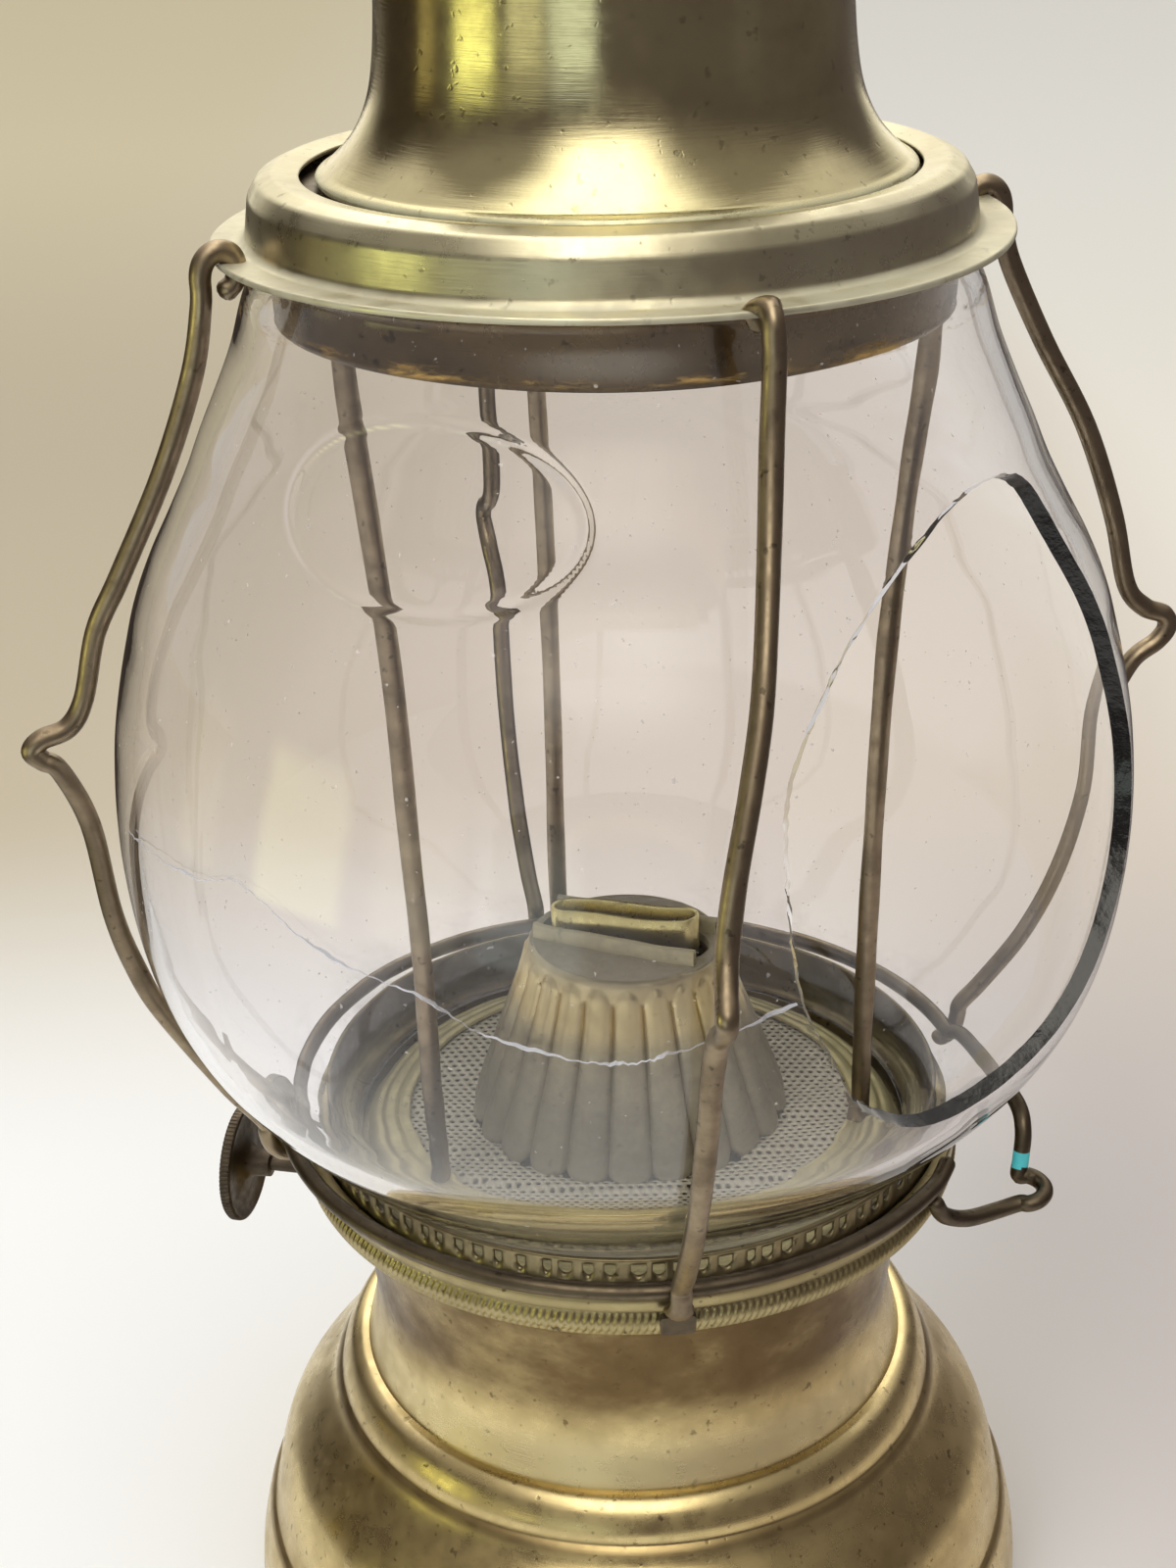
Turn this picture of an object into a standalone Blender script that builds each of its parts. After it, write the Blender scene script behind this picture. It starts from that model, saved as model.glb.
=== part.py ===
"""Ship lantern: a brass oil riding lamp with a ball globe, a wire guard and a fluted burner.

Metres, +Z up. The origin is the centre of the foot, on the surface that the lantern stands on.
Azimuth 0 is the front (-Y), and it grows towards +X. Lengths below are in millimetres until MM.
"""

import math

import bmesh
import bpy
from mathutils import Matrix, Vector

MM = 0.001
GAP = 0.3               # clearance between pieces that touch
SHEET = 0.9             # spun sheet brass
TURNS = 40              # sides of the large round pieces
SMALL_TURNS = 20        # sides of the small round pieces

# Driving sizes
FOOT_R = 65.5           # widest radius of the bell's foot
WAIST_R = 42.3          # narrowest radius of the bell's neck
FLANGE_Z = 86.1         # underside of the bell's top flange
CUP_R = 49.9            # outside of the gallery cup
CUP_RIM_Z = 97.2
LOCK_R = 52.3           # knurled lock ring
GLOBE_R = 75.2          # widest radius of the glass
GLASS = 2.3             # glass thickness
GLOBE_FOOT_Z = 88.7
GLOBE_TOP_Z = 231.3
COLLAR_Z = 231.65       # underside of the collar's flange
COLLAR_R = 54.5
HOOD_X = 0.8            # the hood sits a little off centre in its collar
HOOD_FOOT_Z = 239.6
CROWN_Z = 276.3
CAP_TOP_Z = 303.5

RING_R = 54.7           # guard's foot ring, centre line
RING_Z = 95.8
RING_WIRE = 1.3         # wire radii
GUARD_WIRE = 1.5
ROD_WIRE = 1.5
RING_FROM, RING_TO = 101.0, 420.0      # the ring wire's ends, in degrees of azimuth

WICK_AZ = -102.0        # direction of the wick's width and of the spindle, towards the knob
TUBE_LONG, TUBE_WIDE = 23.4, 5.3
TUBE_WALL = 0.7
TUBE_TOP_Z = 127.0
WICK_LONG, WICK_WIDE = 21.6, 2.6
WICK_FROM_Z, WICK_TOP_Z = 16.0, 123.5
SPINDLE_Z = 68.7
SPINDLE_OFFSET = -5.3   # behind the wick's middle plane
SHAFT_R = 1.25
WHEEL_R = 3.6
WHEEL_AT = 6.0          # either side of the axis
WHEEL_WINDOW = 3.2      # width of the tube's opening for each wheel
KNOB_R = 10.3
KNOB_AT = 68.4

BARREL_R = 19.5
DECK_Z = 88.3
CONE_Z = 90.4
CONE_TOP_Z = 122.5
FLUTES = 22
SLOT_AZ = -111.0        # the cone's flame slot isn't quite in line with the wick
SLOT_LONG, SLOT_WIDE = 27.0, 9.8
LIP = (5.0, 6.1)        # each folded lip, from the slot's middle line
LIP_TOP_Z = 125.0

EAR_X = 13.0
BAIL_WIRE = 1.5
BAIL_HALF_WIDTH = 17.5
BAIL_LENGTH = 42.0
BAIL_Z = 307.3
BAIL_REST = 13.0        # degrees below level, lying on the cap

# Outlines of the turned pieces: radius and height down the outer side
BELL = [(49.4, FLANGE_Z), (44.8, FLANGE_Z), (43.6, 78), (WAIST_R, 62), (43.0, 55), (44.4, 50.2),
        (46.8, 48.4), (49.1, 43.9), (54.3, 37.2), (59.0, 30), (62.1, 18.4), (64.2, 15),
        (65.4, 7), (FOOT_R, 2), (64.6, 0)]
GLOBE = [(49.0, GLOBE_TOP_Z), (49.5, 228), (53.1, 218), (58.3, 206), (63.8, 194), (69.6, 182),
         (72.9, 170), (74.8, 158), (GLOBE_R, 149), (74.4, 138), (71.6, 126), (66.6, 116),
         (58.4, 106), (50.4, 98.6), (48.4, 96.6), (46.2, 92), (46.2, GLOBE_FOOT_Z)]
HOOD = [(30.8, CROWN_Z - GAP), (31.4, 261.6), (32.9, 254.5), (33.4, 250.5), (34.6, 246.4),
        (37.2, 243), (40.4, 240.7), (40.4, HOOD_FOOT_Z)]
CAP = [(0, CAP_TOP_Z), (10, 302.9), (20, 300.3), (28, 296), (34, 290.5), (35.8, 287.4)]
CONE = [(15.4, CONE_TOP_Z), (16.2, 120.4), (17.6, 115.5), (21.4, 104), (24.8, 94),
        (25.9, CONE_Z)]
# Broken side of the globe: azimuth and height of the corners of the missing piece
BREAK = [(62.7, 204), (46, 205), (27.6, 194.7), (17.6, 181), (15.7, 167.6), (16.7, 152),
         (20, 142.6), (24.6, 132.2), (37, 124.7), (61, 133.2), (73.3, 156.8), (68.9, 192.5)]
BREAK_AZ = 44.0
# Guard wires: radius, height and azimuth along each one below its hook
GUARD_HOOK = [(52.2, 229.3), (52.2, 232.6), (52.9, 234.6), (54.6, 235.4), (56.3, 234.3),
              (57.0, 231.5)]
GUARD_FOOT = [(58.3, 98.8), (57.9, 96.6), (57.6, 94.6), (56.4, 93.0), (54.7, 92.6)]
GUARDS = {
    "left": [(57.2, 227, -69), (59, 218, -70), (64, 205, -71), (71, 191, -72), (75, 183, -73),
             (77.2, 173, -74), (83.3, 167.6, -74), (85.5, 166, -74), (82.4, 163, -74),
             (78.8, 153, -75), (77.2, 138, -75.5), (74.8, 128, -76), (71.6, 120, -76),
             (63.4, 106, -76)],
    "right": [(57.4, 227, 104), (58.9, 222, 104), (64.5, 210.7, 104), (72, 197.4, 104),
              (77.5, 183, 104), (80.5, 171.5, 104), (87.5, 165.6, 104), (87.3, 162, 104),
              (82.2, 158.5, 104), (78.8, 150.3, 104), (78, 137, 104), (74.5, 123, 104.5),
              (69, 111.5, 105), (62, 102.5, 105.5)],
    "front": [(57.2, 227, 19), (59, 218, 18), (64, 205, 16), (71, 191, 13.5), (75, 183, 11.5),
              (77.4, 173, 9), (83.5, 167, 8), (85.3, 164.5, 8), (82.4, 161.5, 8),
              (78.8, 152, 7.5), (77.2, 137, 7.3), (74.5, 126, 7), (69.8, 115.5, 6.8),
              (62.5, 104, 6.7)],
    "rear": [(57.2, 227, 198), (59, 218, 198), (64, 205, 198), (71, 191, 197.5),
             (75, 183, 197.5), (77.4, 173, 197), (83.5, 167, 197), (85.3, 164.5, 197),
             (82.4, 161.5, 197), (78.8, 152, 196.5), (77.2, 137, 196.5), (74.5, 126, 196.5),
             (69.8, 115.5, 196.5), (62.5, 104, 196.5)],
}
# Rods inside the globe: radius and height, down from the skirt
RODS = {"left": -51.5, "right": 75.0, "rear": 197.5}
ROD_PATH = [(43.6, 229.0), (43.5, 218.0), (41.4, 198.0), (39.4, 172.0), (38.0, 130.0),
            (37.4, 92.2)]
# Clasp wire from its pivot on the ring's end, round the finger eye, to its hook
CLASP_PIVOT = (54.6, 9.2, RING_Z)
CLASP_BEFORE = [(54.6, 9.2, RING_Z), (58.2, 8.9, 95.0), (60.8, 6.0, 94.2), (62.0, -4.0, 92.2),
                (62.3, -12.0, 90.4)]
CLASP_EYE, CLASP_EYE_R = (61.6, -20.6, 88.6), 4.0
CLASP_AFTER = [(55.6, -26.0, 88.6), (52.0, -29.4, 90.6), (50.0, -30.4, 93.4),
               (49.6, -30.6, 97.6), (49.6, -30.6, 101.0)]


def reset():
    for old in list(bpy.data.objects):
        bpy.data.objects.remove(old, do_unlink=True)


def material(name, colour, metallic, roughness, alpha=1.0):
    """A Principled material."""
    made = bpy.data.materials.new(name)
    made.use_nodes = True
    shader = made.node_tree.nodes["Principled BSDF"]
    shader.inputs["Base Color"].default_value = (*colour, 1.0)
    shader.inputs["Metallic"].default_value = metallic
    shader.inputs["Roughness"].default_value = roughness
    shader.inputs["Alpha"].default_value = alpha
    return made


def at(radius, z, azimuth):
    """A point in metres from a radius, a height and an azimuth in degrees."""
    turn = math.radians(azimuth)
    return Vector((radius * math.sin(turn), -radius * math.cos(turn), z)) * MM


def empty(name, location, turn=0.0):
    """An empty on a joint's axis, turned about Z by degrees."""
    made = bpy.data.objects.new(name, None)
    made.location = location
    made.rotation_euler = (0, 0, math.radians(turn))
    bpy.context.collection.objects.link(made)
    return made


def add(name, bm, surface, parent=None, location=(0, 0, 0)):
    """Turns a bmesh into a named, smooth-shaded object."""
    bmesh.ops.remove_doubles(bm, verts=bm.verts, dist=1e-7)
    bmesh.ops.recalc_face_normals(bm, faces=bm.faces)
    mesh = bpy.data.meshes.new(name)
    bm.to_mesh(mesh)
    bm.free()
    mesh.shade_smooth()
    mesh.set_sharp_from_angle(angle=math.radians(35))
    made = bpy.data.objects.new(name, mesh)
    made.location = location
    made.parent = parent
    if surface:
        mesh.materials.append(surface)
    bpy.context.collection.objects.link(made)
    return made


def walled(outline, wall):
    """Closes an outline that runs down the outer side, with a wall of this thickness inside."""
    inner = []
    for i, (radius, z) in enumerate(outline):
        before = outline[max(i - 1, 0)]
        after = outline[min(i + 1, len(outline) - 1)]
        first = Vector((radius - before[0], z - before[1]))
        second = Vector((after[0] - radius, after[1] - z))
        first = first.normalized() if first.length else second.normalized()
        second = second.normalized() if second.length else first
        normals = [Vector((way.y, -way.x)) for way in (first, second)]
        middle = (normals[0] + normals[1]).normalized()
        step = wall / max(middle.dot(normals[0]), 0.5)
        inner.append((max(radius + middle.x * step, 0.0) if radius else 0.0, z + middle.y * step))
    return outline + inner[::-1]


def turned(name, polygon, surface, turns=TURNS, parent=None, location=(0, 0, 0), ripple=None):
    """A closed polygon of (radius, height) turned about Z. ripple changes radii with the angle."""
    bm = bmesh.new()
    points = [bm.verts.new((radius * MM, 0, z * MM)) for radius, z in polygon]
    rim = [bm.edges.new((a, b)) for a, b in zip(points, points[1:] + points[:1])]
    bmesh.ops.spin(bm, geom=points + rim, axis=(0, 0, 1), cent=(0, 0, 0),
                   angle=math.tau, steps=turns)
    bmesh.ops.remove_doubles(bm, verts=bm.verts, dist=1e-6)
    if ripple:
        for vert in bm.verts:
            factor = ripple(math.atan2(vert.co.y, vert.co.x), vert.co.z / MM)
            vert.co.x *= factor
            vert.co.y *= factor
    return add(name, bm, surface, parent, location)


def ring(inner, outer, low, high):
    """The polygon of a plain ring."""
    return [(outer, high), (outer, low), (inner, low), (inner, high)]


def oval(long, wide, steps=6):
    """Points round a flat oval with round ends, long along X."""
    end = wide / 2
    points = []
    for side in (1, -1):
        for i in range(steps + 1):
            turn = math.radians(-90 + 180 * i / steps) + (math.pi if side < 0 else 0)
            points.append((side * (long / 2 - end) + end * math.cos(turn), end * math.sin(turn)))
    return points


def prism(bm, outline, low, high):
    """Extrudes an outline of (x, y) from one height to another."""
    base = bm.faces.new([bm.verts.new((x * MM, y * MM, low * MM)) for x, y in outline])
    swept = bmesh.ops.extrude_face_region(bm, geom=[base])
    moved = [item for item in swept["geom"] if isinstance(item, bmesh.types.BMVert)]
    bmesh.ops.translate(bm, verts=moved, vec=(0, 0, (high - low) * MM))


def extruded(name, outline, low, high, surface, parent=None, location=(0, 0, 0)):
    bm = bmesh.new()
    prism(bm, outline, low, high)
    return add(name, bm, surface, parent, location)


def along_x(obj):
    """Turns a mesh made along Z so that it lies along X."""
    obj.data.transform(Matrix.Rotation(math.radians(90), 4, "Y"))
    return obj


def smooth(points, steps):
    """A Catmull-Rom curve through the points."""
    made = []
    ends = [points[0] * 2 - points[1]] + points + [points[-1] * 2 - points[-2]]
    for a, b, c, d in zip(ends, ends[1:], ends[2:], ends[3:]):
        for i in range(steps):
            t = i / steps
            made.append(0.5 * (2 * b + (c - a) * t + (2 * a - 5 * b + 4 * c - d) * t ** 2
                               + (3 * b - a - 3 * c + d) * t ** 3))
    return made + [points[-1]]


def wire(name, points, radius, surface, parent=None, location=(0, 0, 0)):
    """A round wire with closed ends along the points."""
    curve = bpy.data.curves.new(name, "CURVE")
    curve.dimensions = "3D"
    curve.bevel_depth = radius * MM
    curve.bevel_resolution = 2
    curve.use_fill_caps = True
    line = curve.splines.new("POLY")
    line.points.add(len(points) - 1)
    for spot, point in zip(line.points, points):
        spot.co = (*point, 1.0)
    curve.materials.append(surface)
    made = bpy.data.objects.new(name, curve)
    made.location = location
    made.parent = parent
    bpy.context.collection.objects.link(made)
    return made


def cut(obj, cutter):
    """Cuts obj with cutter, which stays as a hidden helper."""
    cutter.hide_render = True
    cutter.display_type = "WIRE"
    change = obj.modifiers.new(cutter.name, "BOOLEAN")
    change.operation = "DIFFERENCE"
    change.solver = "EXACT"
    change.object = cutter


def make_base(brass, steel):
    """The bell, its plates and the parts of the burner that stay on it."""
    bell = turned("font_bell", walled(BELL, 1.0), brass)
    turned("base_plate", [(0, 1.4), (63.0, 1.4), (63.0, 0), (0, 0)], brass)
    turned("font_top", ring(21.3, 42.4, 50.7, 51.6), brass, 32)
    turned("font_collar", [(19.9, 58), (21.3, 58), (21.3, 52.9), (24, 52.9), (24, 51.9),
                           (20.9, 51.9), (20.9, 49.8), (19.9, 49.8)], brass, 32)
    barrel = turned("burner_body", [(BARREL_R, 88), (BARREL_R, 52.2), (0, 52.2), (0, 53.1),
                                    (BARREL_R - SHEET, 53.1), (BARREL_R - SHEET, 88)], brass,
                    32)
    deck = turned("burner_deck", [(0, DECK_Z + SHEET), (25.2, DECK_Z + SHEET), (25.2, DECK_Z),
                                  (0, DECK_Z)], brass)
    burner = empty("wick_axis", (0, 0, 0), WICK_AZ - 90)
    tube_bm = bmesh.new()
    prism(tube_bm, oval(TUBE_LONG, TUBE_WIDE), 53.4, TUBE_TOP_Z)
    tube = add("wick_tube", tube_bm, brass, burner)
    cut(tube, extruded("wick_tube_bore", oval(TUBE_LONG - 2 * TUBE_WALL, TUBE_WIDE - 2 * TUBE_WALL),
                       50, TUBE_TOP_Z + 2, None, burner))
    cut(barrel, extruded("barrel_slot", oval(WICK_LONG + 1, WICK_WIDE + 1), 50, 55, None, burner))
    cut(deck, extruded("deck_slot", oval(TUBE_LONG + 1.4, TUBE_WIDE + 1.3), DECK_Z - 2,
                       DECK_Z + 3, None, burner))
    for side, where in (("inner", -WHEEL_AT), ("outer", WHEEL_AT)):
        low, high = where - WHEEL_WINDOW / 2, where + WHEEL_WINDOW / 2
        cut(tube, extruded(f"wheel_window_{side}", [(low, -3.4), (high, -3.4), (high, -1.0),
                                                    (low, -1.0)],
                           SPINDLE_Z - 3.1, SPINDLE_Z + 3.1, None, burner))
    for name, target, radius, start, stop in (("spindle_hole_bell", bell, 3.8, 30, 60),
                                              ("spindle_hole_barrel", barrel, 2.0, 12, 30)):
        hole = turned(name, [(0, stop), (radius, stop), (radius, start), (0, start)], None,
                      SMALL_TURNS, burner, (0, SPINDLE_OFFSET * MM, SPINDLE_Z * MM))
        cut(target, along_x(hole))
    bush = turned("spindle_bush", [(3.4, 46), (3.4, 40), (1.6, 40), (1.6, 46)], brass,
                  SMALL_TURNS, burner, (0, SPINDLE_OFFSET * MM, SPINDLE_Z * MM))
    along_x(bush)
    return burner


def make_wick_drive(burner, brass, cotton):
    """The wick, and the spindle with its two spur wheels and its knob."""
    extruded("wick", oval(WICK_LONG, WICK_WIDE, 4), WICK_FROM_Z, WICK_TOP_Z, cotton, burner)
    spindle = empty("spindle_axis", (0, SPINDLE_OFFSET * MM, SPINDLE_Z * MM))
    spindle.parent = burner
    along_x(turned("spindle_shaft", [(0, KNOB_AT + 2), (SHAFT_R, KNOB_AT + 2), (SHAFT_R, -13),
                                     (0, -13)], brass, 16, spindle))
    teeth = 10
    star = [(r * math.cos(math.tau * i / (2 * teeth)), r * math.sin(math.tau * i / (2 * teeth)))
            for i, r in enumerate([WHEEL_R, 2.6] * teeth)]
    for side, where in (("inner", -WHEEL_AT), ("outer", WHEEL_AT)):
        wheel = extruded(f"spur_wheel_{side}", star, where - 0.9, where + 0.9, brass, spindle)
        bore = turned(f"wheel_bore_{side}", [(0, where + 3), (SHAFT_R + GAP, where + 3),
                                             (SHAFT_R + GAP, where - 3), (0, where - 3)],
                      None, 16, spindle)
        along_x(wheel)
        cut(wheel, along_x(bore))
    along_x(turned("wick_knob", ring(SHAFT_R + GAP, KNOB_R, KNOB_AT - 0.4, KNOB_AT + 2.4),
                   brass, SMALL_TURNS, spindle))


def make_cone(brass):
    """The fluted draught cone and the folded lips of its flame slot."""
    slot = empty("slot_axis", (0, 0, 0), SLOT_AZ - 90)
    outline = [(0, CONE_TOP_Z)] + CONE

    def flutes(turn, z):
        depth = 0.035 * min(max((CONE_TOP_Z - 1.5 - z) / 8, 0), 1)
        return 1 - depth * (1 - math.cos(FLUTES * turn))

    cone = turned("burner_cone", walled(outline, 0.8), brass, 2 * FLUTES, None, (0, 0, 0), flutes)
    cut(cone, extruded("flame_slot", oval(SLOT_LONG, SLOT_WIDE), CONE_TOP_Z - 4, CONE_TOP_Z + 3,
                       None, slot))
    half = SLOT_LONG / 2
    for side, sign in (("front", 1), ("rear", -1)):
        low, high = sorted((sign * LIP[0], sign * LIP[1]))
        extruded(f"slot_lip_{side}", [(-half, low), (half, low), (half, high), (-half, high)],
                 CONE_TOP_Z + GAP, LIP_TOP_Z, brass, slot)


def make_gallery(brass, silver):
    """The cup under the globe, its ridged ring and the perforated plate."""
    turned("gallery_cup", walled([(CUP_R, CUP_RIM_Z), (CUP_R, 88.2), (49.3, 87.4), (41, 87.4)],
                                 SHEET), brass)
    turned("annulus_plate", walled([(35.9, 92.1), (37.2, 91.9), (42.6, 89.5), (42.8, 88.9)], 0.5),
           brass)
    turned("perforated_plate", ring(26.6, 35.2, 90.2, 91.0), silver)
    turned("knurled_ring", [(LOCK_R, 92.6), (LOCK_R, 85.5), (46.5, 85.5), (46.5, 85.8),
                            (50.2, 85.8), (50.2, 92.6)], brass)


def make_globe(glass):
    """The glass, with its missing piece cut right through one side."""
    globe = turned("glass_globe", walled(GLOBE, GLASS), glass)
    outline = []
    for azimuth, z in BREAK:
        turn = math.radians(azimuth - BREAK_AZ)
        outline.append((GLOBE_R * math.sin(turn) * 0.96, z))
    bm = bmesh.new()
    prism(bm, outline, 20, 95)
    cutter = add("missing_piece", bm, None)
    # The outline is drawn in X and Y: stand it up, then face it to the broken side.
    cutter.data.transform(Matrix.Rotation(math.radians(90), 4, "X"))
    cutter.data.transform(Matrix.Rotation(math.radians(BREAK_AZ), 4, "Z"))
    cut(globe, cutter)


def make_collar(brass):
    """The flanged collar over the globe's neck and the skirt inside it."""
    collar = turned("collar_ring", [
        (COLLAR_R, COLLAR_Z), (48.7, COLLAR_Z), (47.9, 238.2), (45.6, 240.6), (41.8, 240.0),
        (41.8, 240.9), (45.5, 241.5), (48.8, 238.6), (49.6, 233.2), (COLLAR_R, 232.6)][::-1], brass)
    for name, path in GUARDS.items():
        azimuth = path[0][2]
        hole = turned(f"guard_hole_{name}", [(0, 236), (1.8, 236), (1.8, 229), (0, 229)], None, 12,
                      None, at(GUARD_HOOK[0][0], 0, azimuth))
        cut(collar, hole)
    turned("inner_skirt", walled([(38.6, 239.1), (46.4, 239.1), (46.4, 221.8)], 0.8), brass)


def make_cage(brass, dark):
    """The rods inside the globe, and the guard wires and foot ring outside it."""
    for name, azimuth in RODS.items():
        path = smooth([at(radius, z, azimuth) for radius, z in ROD_PATH], 2)
        wire(f"inner_rod_{name}", path, ROD_WIRE, brass)
    for name, path in GUARDS.items():
        hook = [at(radius, z, path[0][2]) for radius, z in GUARD_HOOK]
        foot = [at(radius, z, path[-1][2]) for radius, z in GUARD_FOOT]
        points = [at(*spot) for spot in path]
        wire(f"guard_wire_{name}", hook + points + foot, GUARD_WIRE, brass)
    steps = 52
    ring_path = [at(RING_R, RING_Z, RING_FROM + (RING_TO - RING_FROM) * i / steps)
                 for i in range(steps + 1)]
    wire("ring_wire", ring_path, RING_WIRE, dark)
    clip = extruded("ring_clip", [(-2.5, -54.6), (2.5, -54.6), (2.5, -53.4), (-2.5, -53.4)],
                    87.5, 90.8, dark)
    clip.rotation_euler = (0, 0, math.radians(GUARDS["front"][-1][2]))
    pivot = Vector(CLASP_PIVOT) * MM
    eye = [Vector(CLASP_EYE) * MM
           + Vector((math.cos(turn), math.sin(turn), 0)) * CLASP_EYE_R * MM
           + Vector((0, 0, -turned_by * 4.0 * MM))
           for turned_by, turn in ((i / 12, math.radians(60 - 290 * i / 12)) for i in range(13))]
    route = smooth([Vector(spot) * MM for spot in CLASP_BEFORE], 2) + eye
    route += smooth([Vector(spot) * MM for spot in CLASP_AFTER], 2)
    wire("clasp_wire", [spot - pivot for spot in route], RING_WIRE, dark, location=pivot)


def make_hood(brass):
    """The hood, its vent crown and cap, and the bail that lies on the cap."""
    hood = empty("hood_axis", (HOOD_X * MM, 0, 0))
    turned("hood_shell", walled(HOOD, SHEET), brass, parent=hood)
    crown = turned("vent_crown", [(27, 294.8), (27, CROWN_Z + SHEET), (30.6, CROWN_Z + SHEET),
                                  (30.6, CROWN_Z), (26.1, CROWN_Z), (26.1, 294.8)][::-1],
                   brass, parent=hood)
    for i in range(5):
        slot = extruded(f"vent_slot_{i}", [(-40, -5), (40, -5), (40, 5), (-40, 5)], 280, 287.5,
                        None, hood)
        slot.rotation_euler = (0, 0, math.radians(36 * i + 18))
        cut(crown, slot)
    turned("hood_cap", walled(CAP, SHEET), brass, parent=hood)
    pivot = Vector((0, 0, BAIL_Z * MM))
    for side, sign in (("left", -1), ("right", 1)):
        ear = extruded(f"bail_ear_{side}", [(-1.4, -3.5), (1.4, -3.5), (1.4, 3.5), (-1.4, 3.5)],
                       302.95, BAIL_Z + 3.4, brass, hood, (sign * EAR_X * MM, 0, 0))
        hole = turned(f"ear_hole_{side}", ring(0, BAIL_WIRE + 0.4, -5, 5), None, 12, hood,
                      (sign * EAR_X * MM, 0, BAIL_Z * MM))
        cut(ear, along_x(hole))
    straight = BAIL_LENGTH - BAIL_HALF_WIDTH
    path = [Vector((-10.2, 0, 0)), Vector((-16.2, 0, 0)), Vector((-BAIL_HALF_WIDTH, 0, 1.5))]
    for i in range(13):
        turn = math.radians(180 - 15 * i)
        path.append(Vector((BAIL_HALF_WIDTH * math.cos(turn), 0,
                            straight + BAIL_HALF_WIDTH * math.sin(turn))))
    path += [Vector((-spot.x, spot.y, spot.z)) for spot in path[2::-1]]
    bail = wire("bail", [spot * MM for spot in path], BAIL_WIRE, brass, hood, pivot)
    bail.rotation_euler = (math.radians(-90 - BAIL_REST), 0, 0)


def main():
    reset()
    bell_brass = material("bell_brass", (0.56, 0.42, 0.16), 1.0, 0.32)
    drive_brass = material("drive_brass", (0.38, 0.29, 0.13), 1.0, 0.45)
    cone_brass = material("cone_brass", (0.42, 0.36, 0.2), 1.0, 0.5)
    gallery_brass = material("gallery_brass", (0.56, 0.48, 0.2), 1.0, 0.38)
    tinned = material("tinned_plate", (0.6, 0.58, 0.48), 1.0, 0.45)
    clear_glass = material("clear_glass", (0.9, 0.88, 0.9), 0.0, 0.03, 0.3)
    collar_brass = material("collar_brass", (0.4, 0.36, 0.22), 1.0, 0.42)
    wire_brass = material("wire_brass", (0.34, 0.28, 0.13), 1.0, 0.42)
    dark_wire = material("dark_wire", (0.2, 0.16, 0.09), 1.0, 0.5)
    hood_brass = material("hood_brass", (0.44, 0.34, 0.16), 1.0, 0.34)
    cotton = material("cotton", (0.75, 0.7, 0.58), 0.0, 0.9)
    burner = make_base(bell_brass, tinned)
    make_wick_drive(burner, drive_brass, cotton)
    make_cone(cone_brass)
    make_gallery(gallery_brass, tinned)
    make_globe(clear_glass)
    make_collar(collar_brass)
    make_cage(wire_brass, dark_wire)
    make_hood(hood_brass)
    bpy.context.view_layer.update()


main()
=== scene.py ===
"""Ship lantern: the fine surface of the brass lamp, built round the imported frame.

Lengths are in millimetres until MM. Azimuth 0 is the front (-Y), and it grows towards +X.
"""

import random
from math import atan2, cos, degrees, exp, hypot, pi, radians, sin, sqrt, tau

import bmesh
import bpy
from mathutils import Matrix, Vector


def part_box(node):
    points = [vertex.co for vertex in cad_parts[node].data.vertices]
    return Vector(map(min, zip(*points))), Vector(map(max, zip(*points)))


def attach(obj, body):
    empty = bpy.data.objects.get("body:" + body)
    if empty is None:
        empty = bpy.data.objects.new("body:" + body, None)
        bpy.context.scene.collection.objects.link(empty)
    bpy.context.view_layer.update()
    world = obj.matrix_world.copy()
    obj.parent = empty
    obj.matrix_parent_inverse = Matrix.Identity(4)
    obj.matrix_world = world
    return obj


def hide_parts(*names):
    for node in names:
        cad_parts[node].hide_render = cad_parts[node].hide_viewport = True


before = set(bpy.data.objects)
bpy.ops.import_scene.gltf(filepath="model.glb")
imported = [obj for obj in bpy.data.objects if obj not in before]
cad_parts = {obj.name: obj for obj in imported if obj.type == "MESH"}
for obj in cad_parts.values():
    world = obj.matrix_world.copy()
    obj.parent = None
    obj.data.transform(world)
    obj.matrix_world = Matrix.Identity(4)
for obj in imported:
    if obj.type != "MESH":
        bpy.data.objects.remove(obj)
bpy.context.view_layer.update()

MM = 0.001
random.seed(7)


def reach(node):
    """Widest radius of a round CAD node about the lantern's axis."""
    low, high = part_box(node)
    return (high.y - low.y) / 2 / MM


def foot_of(node):
    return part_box(node)[0].z / MM


def top_of(node):
    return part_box(node)[1].z / MM


# Sizes read from the frame
LOCK_R, LOCK_Z, LOCK_TOP_Z = reach("knurled_ring"), foot_of("knurled_ring"), top_of("knurled_ring")
CUP_R, CUP_RIM_Z = reach("gallery_cup"), top_of("gallery_cup")
GLOBE_TOP_Z, GLOBE_FOOT_Z = top_of("glass_globe"), foot_of("glass_globe")
COLLAR_R, COLLAR_Z = reach("collar_ring"), foot_of("collar_ring")
SKIRT_R, SKIRT_Z, SKIRT_TOP_Z = reach("inner_skirt"), foot_of("inner_skirt"), top_of("inner_skirt")
HOOD_X = (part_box("hood_shell")[0].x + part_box("hood_shell")[1].x) / 2 / MM
CROWN_Z, CROWN_TOP_Z = foot_of("vent_crown"), top_of("vent_crown")
CAP_TOP_Z = top_of("hood_cap")
TUBE_TOP_Z, WICK_TOP_Z = top_of("wick_tube"), top_of("wick")
CONE_Z, CONE_TOP_Z = foot_of("burner_cone"), top_of("burner_cone")
LIP_TOP_Z = top_of("slot_lip_front")
PLATE_Z = top_of("perforated_plate")

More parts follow.
